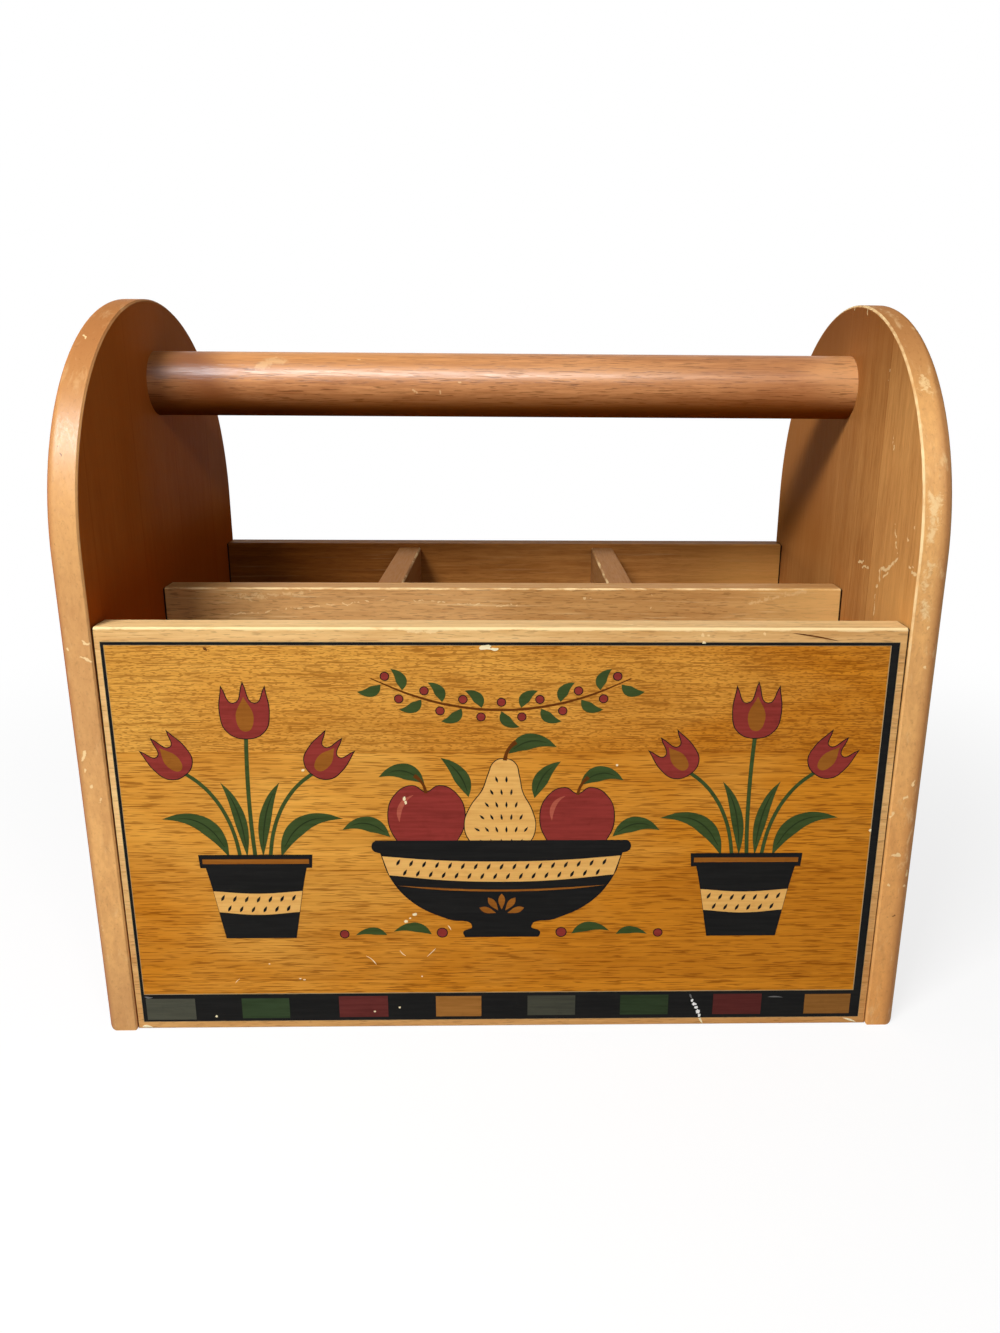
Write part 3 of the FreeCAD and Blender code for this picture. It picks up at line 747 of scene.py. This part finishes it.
def bar_finish():
    """The red-brown bar: long dark pores, painted shadow at its left end, painted shade below, a painted
    lighter right end and a painted highlight along its upper front.
    """
    finish = wood("bar red brown", "x", BAR_LIGHT, BAR_DEEP, None, 1.1, (0.3, 0.35, 0.3), BAR_PORES, 0.57)
    height = finish.less(finish.z, BAR_HEIGHT)

    def along(start, end, low=0.0, high=1.0, value=finish.x):
        """A step along the bar, from shares of its half length."""
        return finish.step(value, start * HALF_WIDTH, end * HALF_WIDTH, low, high)

    def up(start, end, low=0.0, high=1.0, value=height):
        """A step up the bar, from shares of its radius."""
        return finish.step(value, start * BAR_RADIUS, end * BAR_RADIUS, low, high)

    finish.stain(finish.times(up(0.4, 0.9, 0.0, 0.5), along(-0.45, 0.15, 1.0, 0.1)), BAR_TOP)
    # Painted shadow of the left end board on the bar's left end, reaching further right lower down.
    shadow_slant = finish.sum("MULTIPLY_ADD", height, 0.6, finish.x)
    left = finish.times(along(-0.98, -0.84, 0.2, 0.9, shadow_slant), along(-0.84, -0.7, 1.0, 0.0, shadow_slant))
    finish.stain(left, BAR_LEFT_SHADOW)
    finish.stain(along(0.4, 0.75, 0.0, 0.3), BAR_DEEP)
    # Painted light on the bar's right end.
    end = finish.times(along(0.83, 1.0, 0.0, 0.8), up(0.45, 0.85, 1.0, 0.9))
    finish.stain(end, BAR_PAINTED_LIGHT)
    # Painted highlight: a paler stripe along the bar's upper front, in the mask called rubbed.
    rubbed = finish.times(up(0.05, 0.35), up(0.55, 0.8, 1.0, 0.0))
    spread = finish.most(along(-0.85, -0.6, 0.0, 0.33), along(-0.3, 0.15, 0.0, 0.45))
    spared = finish.most(along(0.35, 0.6, 1.0, 0.35), along(0.75, 0.9))
    rubbed = finish.times(rubbed, finish.times(spread, spared))
    finish.stain(rubbed, BAR_PAINTED_LIGHT)
    finish.stain(finish.times(finish.most(end, rubbed), finish.pore), PORE_BROWN)
    wear = finish.times(marks(finish, BAR_MARKS, 1400), 0.4)
    wear = finish.most(wear, finish.times(patch(finish, BAR_PATCH), 0.24))
    finish.stain(wear, BARE_WOOD)
    # Painted shade on the bar's underside, deeper towards its left end.
    under_shade_colour = finish.mix(along(-0.7, -0.35), BAR_UNDER_LEFT_SHADE, BAR_UNDER_SHADE)
    finish.stain(up(-0.85, 0.0, 1.0, 0.0), under_shade_colour)
    shine = up(0.6, 1.25, 0.0, 0.13, finish.less(height, finish.y))
    shine = finish.times(shine, up(0.7, 0.95, 1.0, 0.5))
    shine = finish.times(shine, along(-1.0, -0.8, 0.8, 1.0))
    return satin(finish, wear, 0.32, shine)


def panel_finish():
    """The amber stain on the front panel with fine straight grain in it; painted shade makes it deeper to the
    right and below.

    The topmost plank has many short pores, the others fewer and longer ones.
    """
    planks = ("z", BOARD_PLANK, BOARD_PLANK_START, 0.2, 0)
    finish = wood("panel amber", "x", AMBER_LIGHT, AMBER_MIDDLE, planks, 0.0, (0.12, 0.08, 0.1))
    line = finish.noise(along_grain("x", PANEL_LINES), 4, 0.7)
    finish.stain(finish.step(line, 0.42, 0.68, 0.0, 0.4), AMBER_DEEP)
    top_seam = BOARD_PLANK_START + 2 * BOARD_PLANK
    topmost = finish.step(finish.z, top_seam - 0.5 * MM, top_seam + 0.5 * MM)
    short = finish.step(finish.noise(along_grain("x", PANEL_SHORT_PORES), 1, 0.5), 0.53, 0.63, 0.0, 0.55)
    long = finish.step(finish.noise(along_grain("x", PANEL_LONG_PORES), 1, 0.5), 0.55, 0.64, 0.0, 0.6)
    finish.pore = finish.most(finish.times(topmost, short), long)
    finish.stain(finish.pore, AMBER_PORE)
    cloud = finish.noise((14, 14, 30), 3, 0.55, 0.5, shift=5.0)
    # Painted shade, darker to the right and towards the bottom; the cloud is uneven stain.
    rightward = finish.step(finish.x, PANEL_LEFT * MM, PANEL_RIGHT * MM, 0.0, 0.8)
    below = finish.step(finish.z, PANEL_BOTTOM * MM, PANEL_TOP * MM, 0.5, 0.0)
    stain = finish.plus(finish.plus(rightward, below), finish.step(cloud, 0.3, 0.7, -0.2, 0.25))
    left = finish.step(finish.x, PANEL_LEFT * MM, 0.5 * PANEL_LEFT * MM, 0.4, 0.0)
    stain = finish.plus(stain, finish.times(left, finish.less(1.0, topmost)))
    finish.stain(stain, AMBER_STAIN_AND_SHADE, "MULTIPLY")
    return satin(finish, None, 0.42, 0.03)


def paint_finish(name, colour, worn, shade_fall=0.0):
    """Flat craft paint: faint brush streaks and a few thin spots; painted shade darkens it right of the
    middle by the shade fall.
    """
    finish = Finish(name)
    brush = finish.noise((60, 900, 900), 3, 0.6, 0.2)
    thin = finish.even_noise(260, 4, 0.6, 0.4)
    share = finish.times(finish.step(brush, 0.3, 0.75), 0.7)
    share = finish.sum("MULTIPLY_ADD", finish.step(thin, 0.5, 0.78), 0.3, share)
    finish.base = finish.mix(share, colour, worn)
    if shade_fall:
        # Painted shade, darker right of the middle.
        finish.stain(finish.step(finish.x, -8 * MM, 8 * MM, 0.0, shade_fall), BLACK)
    finish.colour(finish.base)
    finish.roughness(finish.step(brush, 0.2, 0.8, PAINT_ROUGHNESS - 0.06, PAINT_ROUGHNESS + 0.12))
    finish.bump(brush, 0.15, 0.15 * MM)
    finish.gloss(0.04)
    return finish.material


def steel_finish():
    """Brushed steel of the hidden screws."""
    finish = Finish("screw steel")
    lines = finish.noise((120, 2600, 2600), 3, 0.6)
    finish.colour(finish.mix(lines, STEEL_DEEP, STEEL_LIGHT))
    finish.roughness(finish.step(lines, 0.2, 0.8, 0.25, 0.45))
    finish.shader.inputs["Metallic"].default_value = 1.0
    finish.bump(lines, 0.2, 0.1 * MM)
    return finish.material


def dress(material, *names):
    """Puts a finish on CAD nodes, which are otherwise left as they are."""
    for name in names:
        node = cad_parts[name]
        node.data.materials.clear()
        node.data.materials.append(material)


def dress_ends():
    """Finishes of the two end boards: the left one redder and darker, partly its own tone and partly painted
    shade for its shaded inner face; the right one honey-coloured.
    """
    dress(end_board_finish(
        "left end red", RED_LIGHT, RED_DEEP, ("y", END_PLANK, 13 * MM, 0.12, 0), figure=0.12,
        back=(RED_DEEP, 0.0), high=(RED_LIGHT, 0.6, WALL_TOP + 30 * MM), low=(RED_FOOT, 0.6, 2 * ARCH_RADIUS),
        sheen=0.003, band_colour=LEFT_BAND, foot=(RIGHT_BAND, 0.9, 0.0), rubbed=0.2, crown=(0.25, 1.0),
        edge_shade_reach=3.6 * MM, arris_wear=0.05, pale=LEFT_BAND_MARKS, scuffed=(), dark=LEFT_BAND_DENTS,
    ), "left_end_board")
    dress(end_board_finish(
        "right end honey", HONEY_LIGHT, HONEY_DEEP, ("y", END_PLANK, 0.0, 0.4, 370), figure=0.2,
        back=(HONEY_BACK_SHADE, 0.85), high=(HONEY_TOP_SHADE, 0.85, WALL_TOP + 70 * MM),
        low=(HONEY_FOOT_LIGHT, 0.5, -30 * MM), sheen=0.002, band_colour=RIGHT_BAND, foot=(BAND_FOOT, 0.4, 0.6),
        rubbed=0.4, crown=(0.45, 0.8), edge_shade_reach=6.5 * MM, arris_wear=0.9,
        pale=RIGHT_FACE_MARKS + RIGHT_BAND_MARKS, scuffed=RIGHT_BAND_SCUFFS, dark=RIGHT_BAND_DENTS,
    ), "right_end_board")


def dress_box():
    """Finishes of the boards between the ends."""
    dress(box_board_finish(
        "front pale", PALE_LIGHT, PALE_DEEP, (FRONT_FACE, WALL_TOP), pores=0.5, reach=0.9 * MM, streaks=0.25,
        top=(BARE_WOOD, 0.2), pale=FRONT_MARKS,
        # Painted shade: the front face darker towards its right end.
        stains_and_shading=[("MULTIPLY", FALLOFF_SHADE, 0.0, HALF_WIDTH, 0.6, FRONT_FACE)],
    ), "front_board")
    dress(box_board_finish(
        "partition tan", TAN_LIGHT, TAN_DEEP, (PARTITION_FACE, INNER_TOP), pores=0.6, reach=0.6 * MM,
        streaks=0.5, top=(TAN_DEEP, 0.5), pale=PARTITION_MARKS, scuffed=PARTITION_SCUFFS,
        # Darker from the middle to the right end, and painted light at the right end.
        stains_and_shading=[("MULTIPLY", TAN_DARKENING, -0.1 * HALF_WIDTH, 0.07 * HALF_WIDTH, 1.0, PARTITION_FACE),
                ("MIX", TAN_PAINTED_LIGHT, 0.6 * HALF_WIDTH, HALF_WIDTH, 0.55, PARTITION_FACE)],
    ), "partition_board")
    dress(box_board_finish(
        "back brown", BROWN_LIGHT, BROWN_DEEP, (BACK_HIGH[1], WALL_TOP), pores=0.3, reach=0.4 * MM,
        streaks=0.08, top=(BROWN_DEEP, 0.0),
        # Painted shadow of the left end board over the left bin, and painted light at the right end.
        stains_and_shading=[("MULTIPLY", BIN_SHADOW, 0.5 * HALF_WIDTH, -HALF_WIDTH, 1.0, BACK_FACE),
                ("MIX", BROWN_PAINTED_LIGHT, 0.5 * HALF_WIDTH, 0.9 * HALF_WIDTH, 0.45, BACK_FACE)],
    ), "back_board")
    dress(divider_finish(), "left_divider", "right_divider")
    dress(plain_wood_finish("floor brown", "x", BROWN_LIGHT, BROWN_DEEP), "floor_board")


def dress_fixings():
    """Finishes of the bar and of the hidden pins, plugs and screws."""
    dress(bar_finish(), "handle_bar")
    pins = [f"{side}_{board}_pins" for side in ("left", "right") for board in ("front", "partition", "back")]
    dress(plain_wood_finish("pin wood", "x", PALE_LIGHT, PALE_DEEP, 0.6, 0.6), *pins)
    dress(plain_wood_finish("plug red", "y", RED_LIGHT, RED_DEEP), "left_screw_plug")
    dress(plain_wood_finish("plug honey", "y", HONEY_LIGHT, HONEY_DEEP), "right_screw_plug")
    dress(steel_finish(), "left_handle_screw", "right_handle_screw")


def deselect():
    """Leaves nothing selected, so that an operator acts on one new piece only."""
    if bpy.context.object and bpy.context.object.mode != "OBJECT":
        bpy.ops.object.mode_set(mode="OBJECT")
    bpy.ops.object.select_all(action="DESELECT")


def rectangle(left, right, bottom, top):
    """A straight-sided outline, in millimetres; a third value of 1 marks a sharp corner."""
    return [(left, bottom, 1), (right, bottom, 1), (right, top, 1), (left, top, 1)]


def mirrored(half):
    """A closed outline from its right half, given from the foot up."""
    left = [(-point[0], *point[1:]) for point in reversed(half) if point[0] > 0]
    return list(half) + left


def moved(outline, place, scale=1.0, turn=0.0, flip=1):
    """An outline turned, scaled and set at a place; a flip of -1 mirrors it."""
    turned = []
    for side, up, *corner in outline:
        side *= flip * scale
        up *= scale
        x = place[0] + side * cos(turn) - up * sin(turn)
        z = place[1] + side * sin(turn) + up * cos(turn)
        turned.append((x, z, *corner))
    return turned


def bent_line(start, bend, end, share):
    """A point on a bent line and the direction square to it."""
    back = 1 - share
    weights = (back * back, 2 * back * share, share * share)
    x = sum(w * p[0] for w, p in zip(weights, (start, bend, end)))
    z = sum(w * p[1] for w, p in zip(weights, (start, bend, end)))
    run = back * (bend[0] - start[0]) + share * (end[0] - bend[0])
    rise = back * (bend[1] - start[1]) + share * (end[1] - bend[1])
    size = hypot(run, rise)
    return (x, z), (-rise / size, run / size)


def brush_stroke(start, bend, end, widths):
    """A stroke along a bent line, with its widths from start to end; a width of 0 is a pointed tip."""
    left, right = [], []
    last = len(widths) - 1
    for count, width in enumerate(widths):
        (x, z), (side_x, side_z) = bent_line(start, bend, end, count / last)
        half = width / 2
        if width == 0:
            left.append((x, z, 1))
            continue
        corner = (1,) if count in (0, last) else ()
        left.append((x + side_x * half, z + side_z * half, *corner))
        right.append((x - side_x * half, z - side_z * half, *corner))
    return left + right[::-1]


def brushed(rows):
    return [brush_stroke(*row) for row in rows]


def leaf(start, bend, end, width):
    return brush_stroke(start, bend, end, (0, 0.7 * width, width, 0.85 * width, 0.5 * width, 0))


def vein(start, bend, end):
    """A fine line down the middle of a leaf, short of both its tips."""
    first = bent_line(start, bend, end, 0.12)[0]
    last = bent_line(start, bend, end, 0.86)[0]
    middle = bent_line(start, bend, end, 0.5)[0]
    pull = tuple(2 * m - (a + b) / 2 for m, a, b in zip(middle, first, last))
    return brush_stroke(first, pull, last, (0.25, 0.5, 0.45, 0))


def stem(start, bend, end, width):
    return brush_stroke(start, bend, end, (width,) * 6)


def tick(place, length, width, lean):
    """A short pointed dash."""
    reach = (cos(lean) * length / 2, sin(lean) * length / 2)
    start = (place[0] - reach[0], place[1] - reach[1])
    end = (place[0] + reach[0], place[1] + reach[1])
    return brush_stroke(start, place, end, (0, width, 0.8 * width, 0))


def berry(place, radius):
    return moved([(1, 0), (0, 1), (-1, 0), (0, -1)], place, radius)


def chip(place, reach, number):
    """A broken outline round a place, with its half sizes across and up; its number sets its shape."""
    draw = Random(number)
    outline = []
    for n in range(CHIP_CORNERS):
        turn = 2 * pi * n / CHIP_CORNERS
        far = draw.uniform(0.6, 1.15)
        outline.append((place[0] + far * reach[0] * cos(turn), place[1] + far * reach[1] * sin(turn), 1))
    return outline


def film(name, outlines, level, material, spread=0.0):
    """A thin layer on the front board's face: closed outlines across and up in millimetres, filled."""
    deselect()
    curve = bpy.data.curves.new(name, "CURVE")
    curve.dimensions = "2D"
    curve.fill_mode = "BOTH"
    curve.extrude = (level + FILM_ROOT) / 2 * MM
    curve.offset = spread * MM
    curve.resolution_u = CURVE_STEPS
    for outline in outlines:
        spline = curve.splines.new("BEZIER")
        spline.bezier_points.add(len(outline) - 1)
        spline.use_cyclic_u = True
        for point, (side, up, *corner) in zip(spline.bezier_points, outline):
            handle = "VECTOR" if corner else "AUTO"
            point.co = (side * MM, up * MM, 0)
            point.handle_left_type = handle
            point.handle_right_type = handle
    piece = bpy.data.objects.new(name, curve)
    bpy.context.collection.objects.link(piece)
    piece.select_set(True)
    bpy.context.view_layer.objects.active = piece
    bpy.ops.object.convert(target="MESH")
    piece = bpy.context.object
    piece.rotation_euler = (pi / 2, 0, 0)
    piece.location = (0, FRONT_FACE - (level - FILM_ROOT) / 2 * MM, 0)
    bpy.ops.object.transform_apply(location=True, rotation=True, scale=True)
    bpy.ops.object.mode_set(mode="EDIT")
    bpy.ops.mesh.select_all(action="SELECT")
    bpy.ops.mesh.remove_doubles(threshold=WELD_DISTANCE)
    bpy.ops.mesh.normals_make_consistent(inside=False)
    bpy.ops.object.mode_set(mode="OBJECT")
    piece.data.materials.clear()
    piece.data.materials.append(material)
    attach(piece, "root")


def paint_frame(paints):
    """Amber panel, black frame with its strip, and the colour blocks in the strip."""
    panel = rectangle(FRAME_LEFT + FRINGE, FRAME_RIGHT - FRINGE, FRAME_BOTTOM + FRINGE, FRAME_TOP - FRINGE)
    film("amber_panel", [panel], GROUND_LEVEL, panel_finish())
    half = FRINGE / 2
    film("frame_fringe", [
        rectangle(FRAME_LEFT - half, FRAME_RIGHT + half, FRAME_BOTTOM - half, FRAME_TOP + half),
        rectangle(PANEL_LEFT + half, PANEL_RIGHT - FRINGE, PANEL_BOTTOM + FRINGE, PANEL_TOP - half),
    ], FRINGE_LEVEL, paint_finish("fringe tan", FRINGE_TAN, FRINGE_TAN))
    film("black_frame", [
        rectangle(FRAME_LEFT, FRAME_RIGHT, FRAME_BOTTOM, FRAME_TOP),
        rectangle(PANEL_LEFT, PANEL_RIGHT, PANEL_BOTTOM, PANEL_TOP),
    ], BLACK_LEVEL, paints["black"])
    for colour, places in BLOCKS.items():
        finish = paint_finish(f"block {colour}", *BLOCK_COLOURS[colour], BLOCK_SHADE_FALL)
        film(f"{colour}_blocks", [rectangle(*place) for place in places], BLOCK_LEVEL, finish)


def outlined(name, outlines, layer, paint, paints):
    """A painted shape with a fine black line round it."""
    film(f"{name}_line", outlines, LAYERS[layer] - COAT, paints["black"], LINE_WIDTH)
    film(name, outlines, LAYERS[layer], paint)


def band_ticks(count, gap, middle, bow, apart):
    """Two staggered rows of dashes along a bowed band."""
    ticks = []
    for n in range(-count, count + 1):
        for row, shift in ((apart, 0.0), (-apart, gap / 2)):
            x = n * gap + shift
            if abs(x) < (count + 0.3) * gap:
                ticks.append(tick((x, middle + bow * x * x + row), *BAND_TICK))
    return ticks


def pear_ticks():
    """Staggered rows of dashes that fan out over the pear."""
    ticks = []
    for row, (up, half) in enumerate(PEAR_TICK_ROWS):
        for n in range(-3, 4):
            x = (n + (0.5 if row % 2 else 0)) * PEAR_TICK_GAP
            if abs(x) < half:
                ticks.append(tick((BOWL_PLACE[0] + x, up), *PEAR_TICK, radians(100 - 5 * x)))
    return ticks


def bowl_fan():
    """Petals that fan out above the bowl's foot."""
    petals = []
    for turn in map(radians, FAN_TURNS):
        reach = FAN_LENGTH * cos(turn)
        rise = FAN_LENGTH * sin(turn)
        points = [(reach * share, FAN_FOOT + rise * share) for share in (0.25, 0.6, 1)]
        petals.append(brush_stroke(*points, FAN_WIDTHS))
    return petals


def paint_bowl(paints):
    """A black footed bowl with a cream band, holding a pear and two apples."""
    def here(outlines):
        return [moved(outline, BOWL_PLACE) for outline in outlines]

    apples = [moved(mirrored(APPLE_HALF), place, size) for place, size in APPLES]
    outlined("apples", apples, "fruit", paints["red"], paints)
    film("apple_shines", brushed(APPLE_SHINES), LAYERS["fruit"] + COAT, paints["rose"])
    pear = moved(mirrored(PEAR_HALF), PEAR_PLACE, 1.0, PEAR_TURN)
    outlined("pear", [pear], "pear", paints["cream"], paints)
    film("pear_ticks", pear_ticks(), LAYERS["pear"] + COAT, paints["black"])
    film("fruit_stems", brushed(FRUIT_STEMS), LAYERS["pear"] + COAT, paints["brown"])
    film("fruit_leaves", [leaf(*one) for one in FRUIT_LEAVES], LAYERS["leaf"], paints["green"])
    veins = [vein(*one[:3]) for one in FRUIT_LEAVES]
    film("fruit_leaf_veins", veins, LAYERS["leaf"] + THIN_COAT, paints["deep_green"])
    film("fruit_bowl", here([mirrored(BOWL_HALF)]), LAYERS["pot"], paints["black"])
    film("bowl_band", here([BOWL_BAND]), LAYERS["band"], paints["cream"])
    film("bowl_ticks", here(band_ticks(*BOWL_TICKS)), LAYERS["tick"], paints["black"])
    film("bowl_fan", here(bowl_fan()), LAYERS["band"], paints["rust"])
    film("bowl_rule", here(brushed([BOWL_RULE])), LAYERS["band"] + THIN_COAT, paints["rust"])


def paint_tulips(paints):
    """Two black pots of red tulips."""
    stems, leaves, veins, heads, hearts, pots, bands, ticks, rims = ([] for _ in range(9))

    def add_tulip(place, spot, size, turn, side=1):
        middle = (place[0] + side * spot[0], place[1] + spot[1])
        heads.append(moved(mirrored(TULIP_HALF), middle, size, side * turn))
        hearts.append(moved(mirrored(TULIP_HEART), middle, size, side * turn))

    for place in POT_PLACES:
        stems.append(moved(stem(*MIDDLE_STEM), place))
        add_tulip(place, *MIDDLE_TULIP)
        for side in (-1, 1):
            stems.append(moved(stem(*SIDE_STEM), place, flip=side))
            leaves += [moved(leaf(*one), place, flip=side) for one in POT_LEAVES]
            veins += [moved(vein(*one[:3]), place, flip=side) for one in POT_LEAVES]
            add_tulip(place, *SIDE_TULIP, side)
        pots.append(moved(mirrored(POT_HALF), place))
        bands.append(moved(POT_BAND, place))
        rims.append(moved(rectangle(*POT_RIM), place))
        ticks += [moved(one, place) for one in band_ticks(*POT_TICKS)]
    film("tulip_stems", stems, LAYERS["stem"], paints["green"])
    film("tulip_leaves", leaves, LAYERS["leaf"], paints["green"])
    film("tulip_leaf_veins", veins, LAYERS["leaf"] + THIN_COAT, paints["deep_green"])
    outlined("tulip_heads", heads, "fruit", paints["red"], paints)
    film("tulip_hearts", hearts, LAYERS["fruit"] + COAT, paints["rust"])
    film("tulip_pots", pots, LAYERS["pot"], paints["black"])
    film("pot_bands", bands, LAYERS["band"], paints["cream"])
    film("pot_rims", rims, LAYERS["band"], paints["rust"])
    film("pot_ticks", ticks, LAYERS["tick"], paints["black"])


def paint_swag(paints):
    """A leafy swag with berries over the bowl, and fallen leaves with berries on each side of its foot."""
    leaves, berries = [], []
    for n in range(SWAG_LEAVES):
        share = 0.04 + 0.92 * n / (SWAG_LEAVES - 1)
        side = 1 if n % 2 else -1
        (x, z), (side_x, side_z) = bent_line(*SWAG, share)
        out = -1 if share < 0.5 else 1

        def beside(away, along=0.0):
            """A place beside the stem and along it, outwards from the middle."""
            across_x, across_z = side * side_x * away, side * side_z * away
            return (x + across_x + side_z * out * along, z + across_z - side_x * out * along)

        leaves.append(leaf(beside(0.5), beside(5.5, 1.0), beside(6.5, 6.5), SWAG_LEAF_WIDTH))
        berries.append(berry(beside(-2.9), SWAG_BERRY))
    for x, flip in FALLEN_PLACES:
        place = (x, BASE_LINE)
        leaves += [moved(leaf(*one), place, flip=flip) for one in FALLEN_LEAVES]
        berries += [moved(berry(*one), place, flip=flip) for one in FALLEN_BERRIES]
    film("swag_stems", [brush_stroke(*SWAG, SWAG_WIDTHS)], LAYERS["stem"], paints["brown"])
    film("swag_leaves", leaves, LAYERS["leaf"], paints["green"])
    outlined("berries", berries, "fruit", paints["red"], paints)


def wear_front():
    """Chips, flecks and scratches in the paint and the margins of the front board."""
    cream = paint_finish("chip cream", CHIP_CREAM, CHIP_TAN)
    film("cream_chips", [chip(*one) for one in CREAM_CHIPS], CHIP_LEVEL, cream)
    white = paint_finish("chip white", CHIP_WHITE, CHIP_GREY)
    film("strip_chips", [chip(*one) for one in STRIP_CHIPS[::2]], CHIP_LEVEL, white)
    film("strip_chips_between", [chip(*one) for one in STRIP_CHIPS[1::2]], CHIP_LEVEL + COAT, white)
    film("pale_lines", brushed(PALE_LINES), CHIP_LEVEL - COAT, cream)
    film("grey_scuffs", brushed(GREY_SCUFFS), CHIP_LEVEL, paint_finish("scuff grey", SCUFF_GREY, SCUFF_GREY))
    film("dark_lines", brushed(DARK_LINES), CHIP_LEVEL, paint_finish("mark brown", PORE_BROWN, BROWN_DEEP))


def paint_front():
    """All the paint on the front board, and its wear."""
    paints = {name: paint_finish(f"{name} paint", *colours) for name, colours in PAINTS.items()}
    paint_frame(paints)
    paint_bowl(paints)
    paint_tulips(paints)
    paint_swag(paints)
    wear_front()


def white_to_camera(nodes, white, plain):
    """Shows white where the camera, a reflection or glass looks straight at a surface."""
    path = nodes.add("ShaderNodeLightPath").outputs
    seen = nodes.most(path["Is Camera Ray"], path["Is Glossy Ray"])
    return nodes.between(nodes.most(seen, path["Is Transmission Ray"]), plain, white)


def make_floor():
    """A plain pale floor that keeps the caddy's shadow."""
    deselect()
    bpy.ops.mesh.primitive_plane_add(size=FLOOR_SIZE)
    floor = bpy.context.object
    floor.name = "floor"
    finish = Finish("floor white")
    finish.colour(FLOOR_GREY)
    finish.roughness(0.9)
    finish.gloss(0.1)
    white = finish.fill(finish.add("ShaderNodeEmission"), {"Color": WHITE})
    shaded = finish.fill(finish.add("ShaderNodeBsdfDiffuse"), {"Color": FLOOR_PALE})
    clear = finish.step(finish.vector("LENGTH", finish.place), *SHADOW_FADE, 0.8, 1.0)
    lit = finish.between(clear, shaded.outputs[0], white.outputs[0])
    seen = white_to_camera(finish, lit, finish.shader.outputs[0])
    finish.put(finish.tree.nodes["Material Output"].inputs["Surface"], seen)
    floor.data.materials.append(finish.material)


def make_world():
    """Even pale light from all round, white where it is seen."""
    world = bpy.data.worlds.new("studio")
    world.use_nodes = True
    bpy.context.scene.world = world
    nodes = Nodes(world.node_tree)
    around = nodes.fill(nodes.tree.nodes["Background"], {"Color": SKY, "Strength": SKY_STRENGTH})
    white = nodes.fill(nodes.add("ShaderNodeBackground"), {"Color": WHITE, "Strength": 1.0})
    seen = white_to_camera(nodes, white.outputs[0], around.outputs[0])
    nodes.put(nodes.tree.nodes["World Output"].inputs["Surface"], seen)


def lamp(name, place, target, size, power, lights=True, shines=False, colour=(1, 1, 1)):
    """A soft rectangular lamp turned towards a point; one that shines shows in the lacquer."""
    data = bpy.data.lights.new(name, "AREA")
    data.shape = "RECTANGLE"
    data.size, data.size_y = size
    data.energy = power
    data.color = colour
    light = bpy.data.objects.new(name, data)
    bpy.context.collection.objects.link(light)
    light.visible_diffuse = lights
    light.visible_glossy = shines
    light.location = place
    light.rotation_euler = (Vector(target) - Vector(place)).to_track_quat("-Z", "Y").to_euler()


def make_lamps():
    """The key lamp, one that shows only as gloss, and two weak fills; places and sizes are in metres."""
    lamp("key", place=(-0.45, -0.70, 0.86), target=(0, 0, 0.15), size=(0.42, 0.18), power=13.3)
    lamp("gloss", place=(-0.25, -0.58, 0.78), target=(0, 0, 0.2), size=(0.9, 0.2), power=46, lights=False,
         shines=True, colour=(0.86, 1.0, 1.1))
    lamp("front_fill", place=(0.55, -1.1, 0.8), target=(0, 0, 0.15), size=(0.2, 0.15), power=2.6)
    lamp("back_fill", place=(-0.4, 1.6, 0.2), target=(0, 0, 0.12), size=(1.0, 0.3), power=8)


def make_camera():
    """The camera at the photograph's place, with its shift for where the picture was cut."""
    forward = Vector((
        sin(CAMERA_YAW) * cos(CAMERA_PITCH),
        cos(CAMERA_YAW) * cos(CAMERA_PITCH),
        -sin(CAMERA_PITCH),
    ))
    level = Vector((cos(CAMERA_YAW), -sin(CAMERA_YAW), 0))
    raised = level.cross(forward)
    rightward = cos(CAMERA_ROLL) * level + sin(CAMERA_ROLL) * raised
    upward = -sin(CAMERA_ROLL) * level + cos(CAMERA_ROLL) * raised
    data = bpy.data.cameras.new("camera")
    data.sensor_width = SENSOR
    data.lens = FOCAL_PIXELS * SENSOR / IMAGE_HEIGHT
    data.shift_x = (IMAGE_WIDTH / 2 - IMAGE_CENTRE[0]) / IMAGE_HEIGHT
    data.shift_y = (IMAGE_CENTRE[1] - IMAGE_HEIGHT / 2) / IMAGE_HEIGHT
    camera = bpy.data.objects.new("camera", data)
    bpy.context.collection.objects.link(camera)
    turned = Matrix((rightward, upward, -forward)).transposed().to_4x4()
    camera.matrix_world = Matrix.Translation(CAMERA_PLACE) @ turned
    bpy.context.scene.camera = camera


bpy.context.scene.view_settings.view_transform = "Standard"
dress_ends()
dress_box()
dress_fixings()
paint_front()
make_floor()
make_world()
make_lamps()
make_camera()
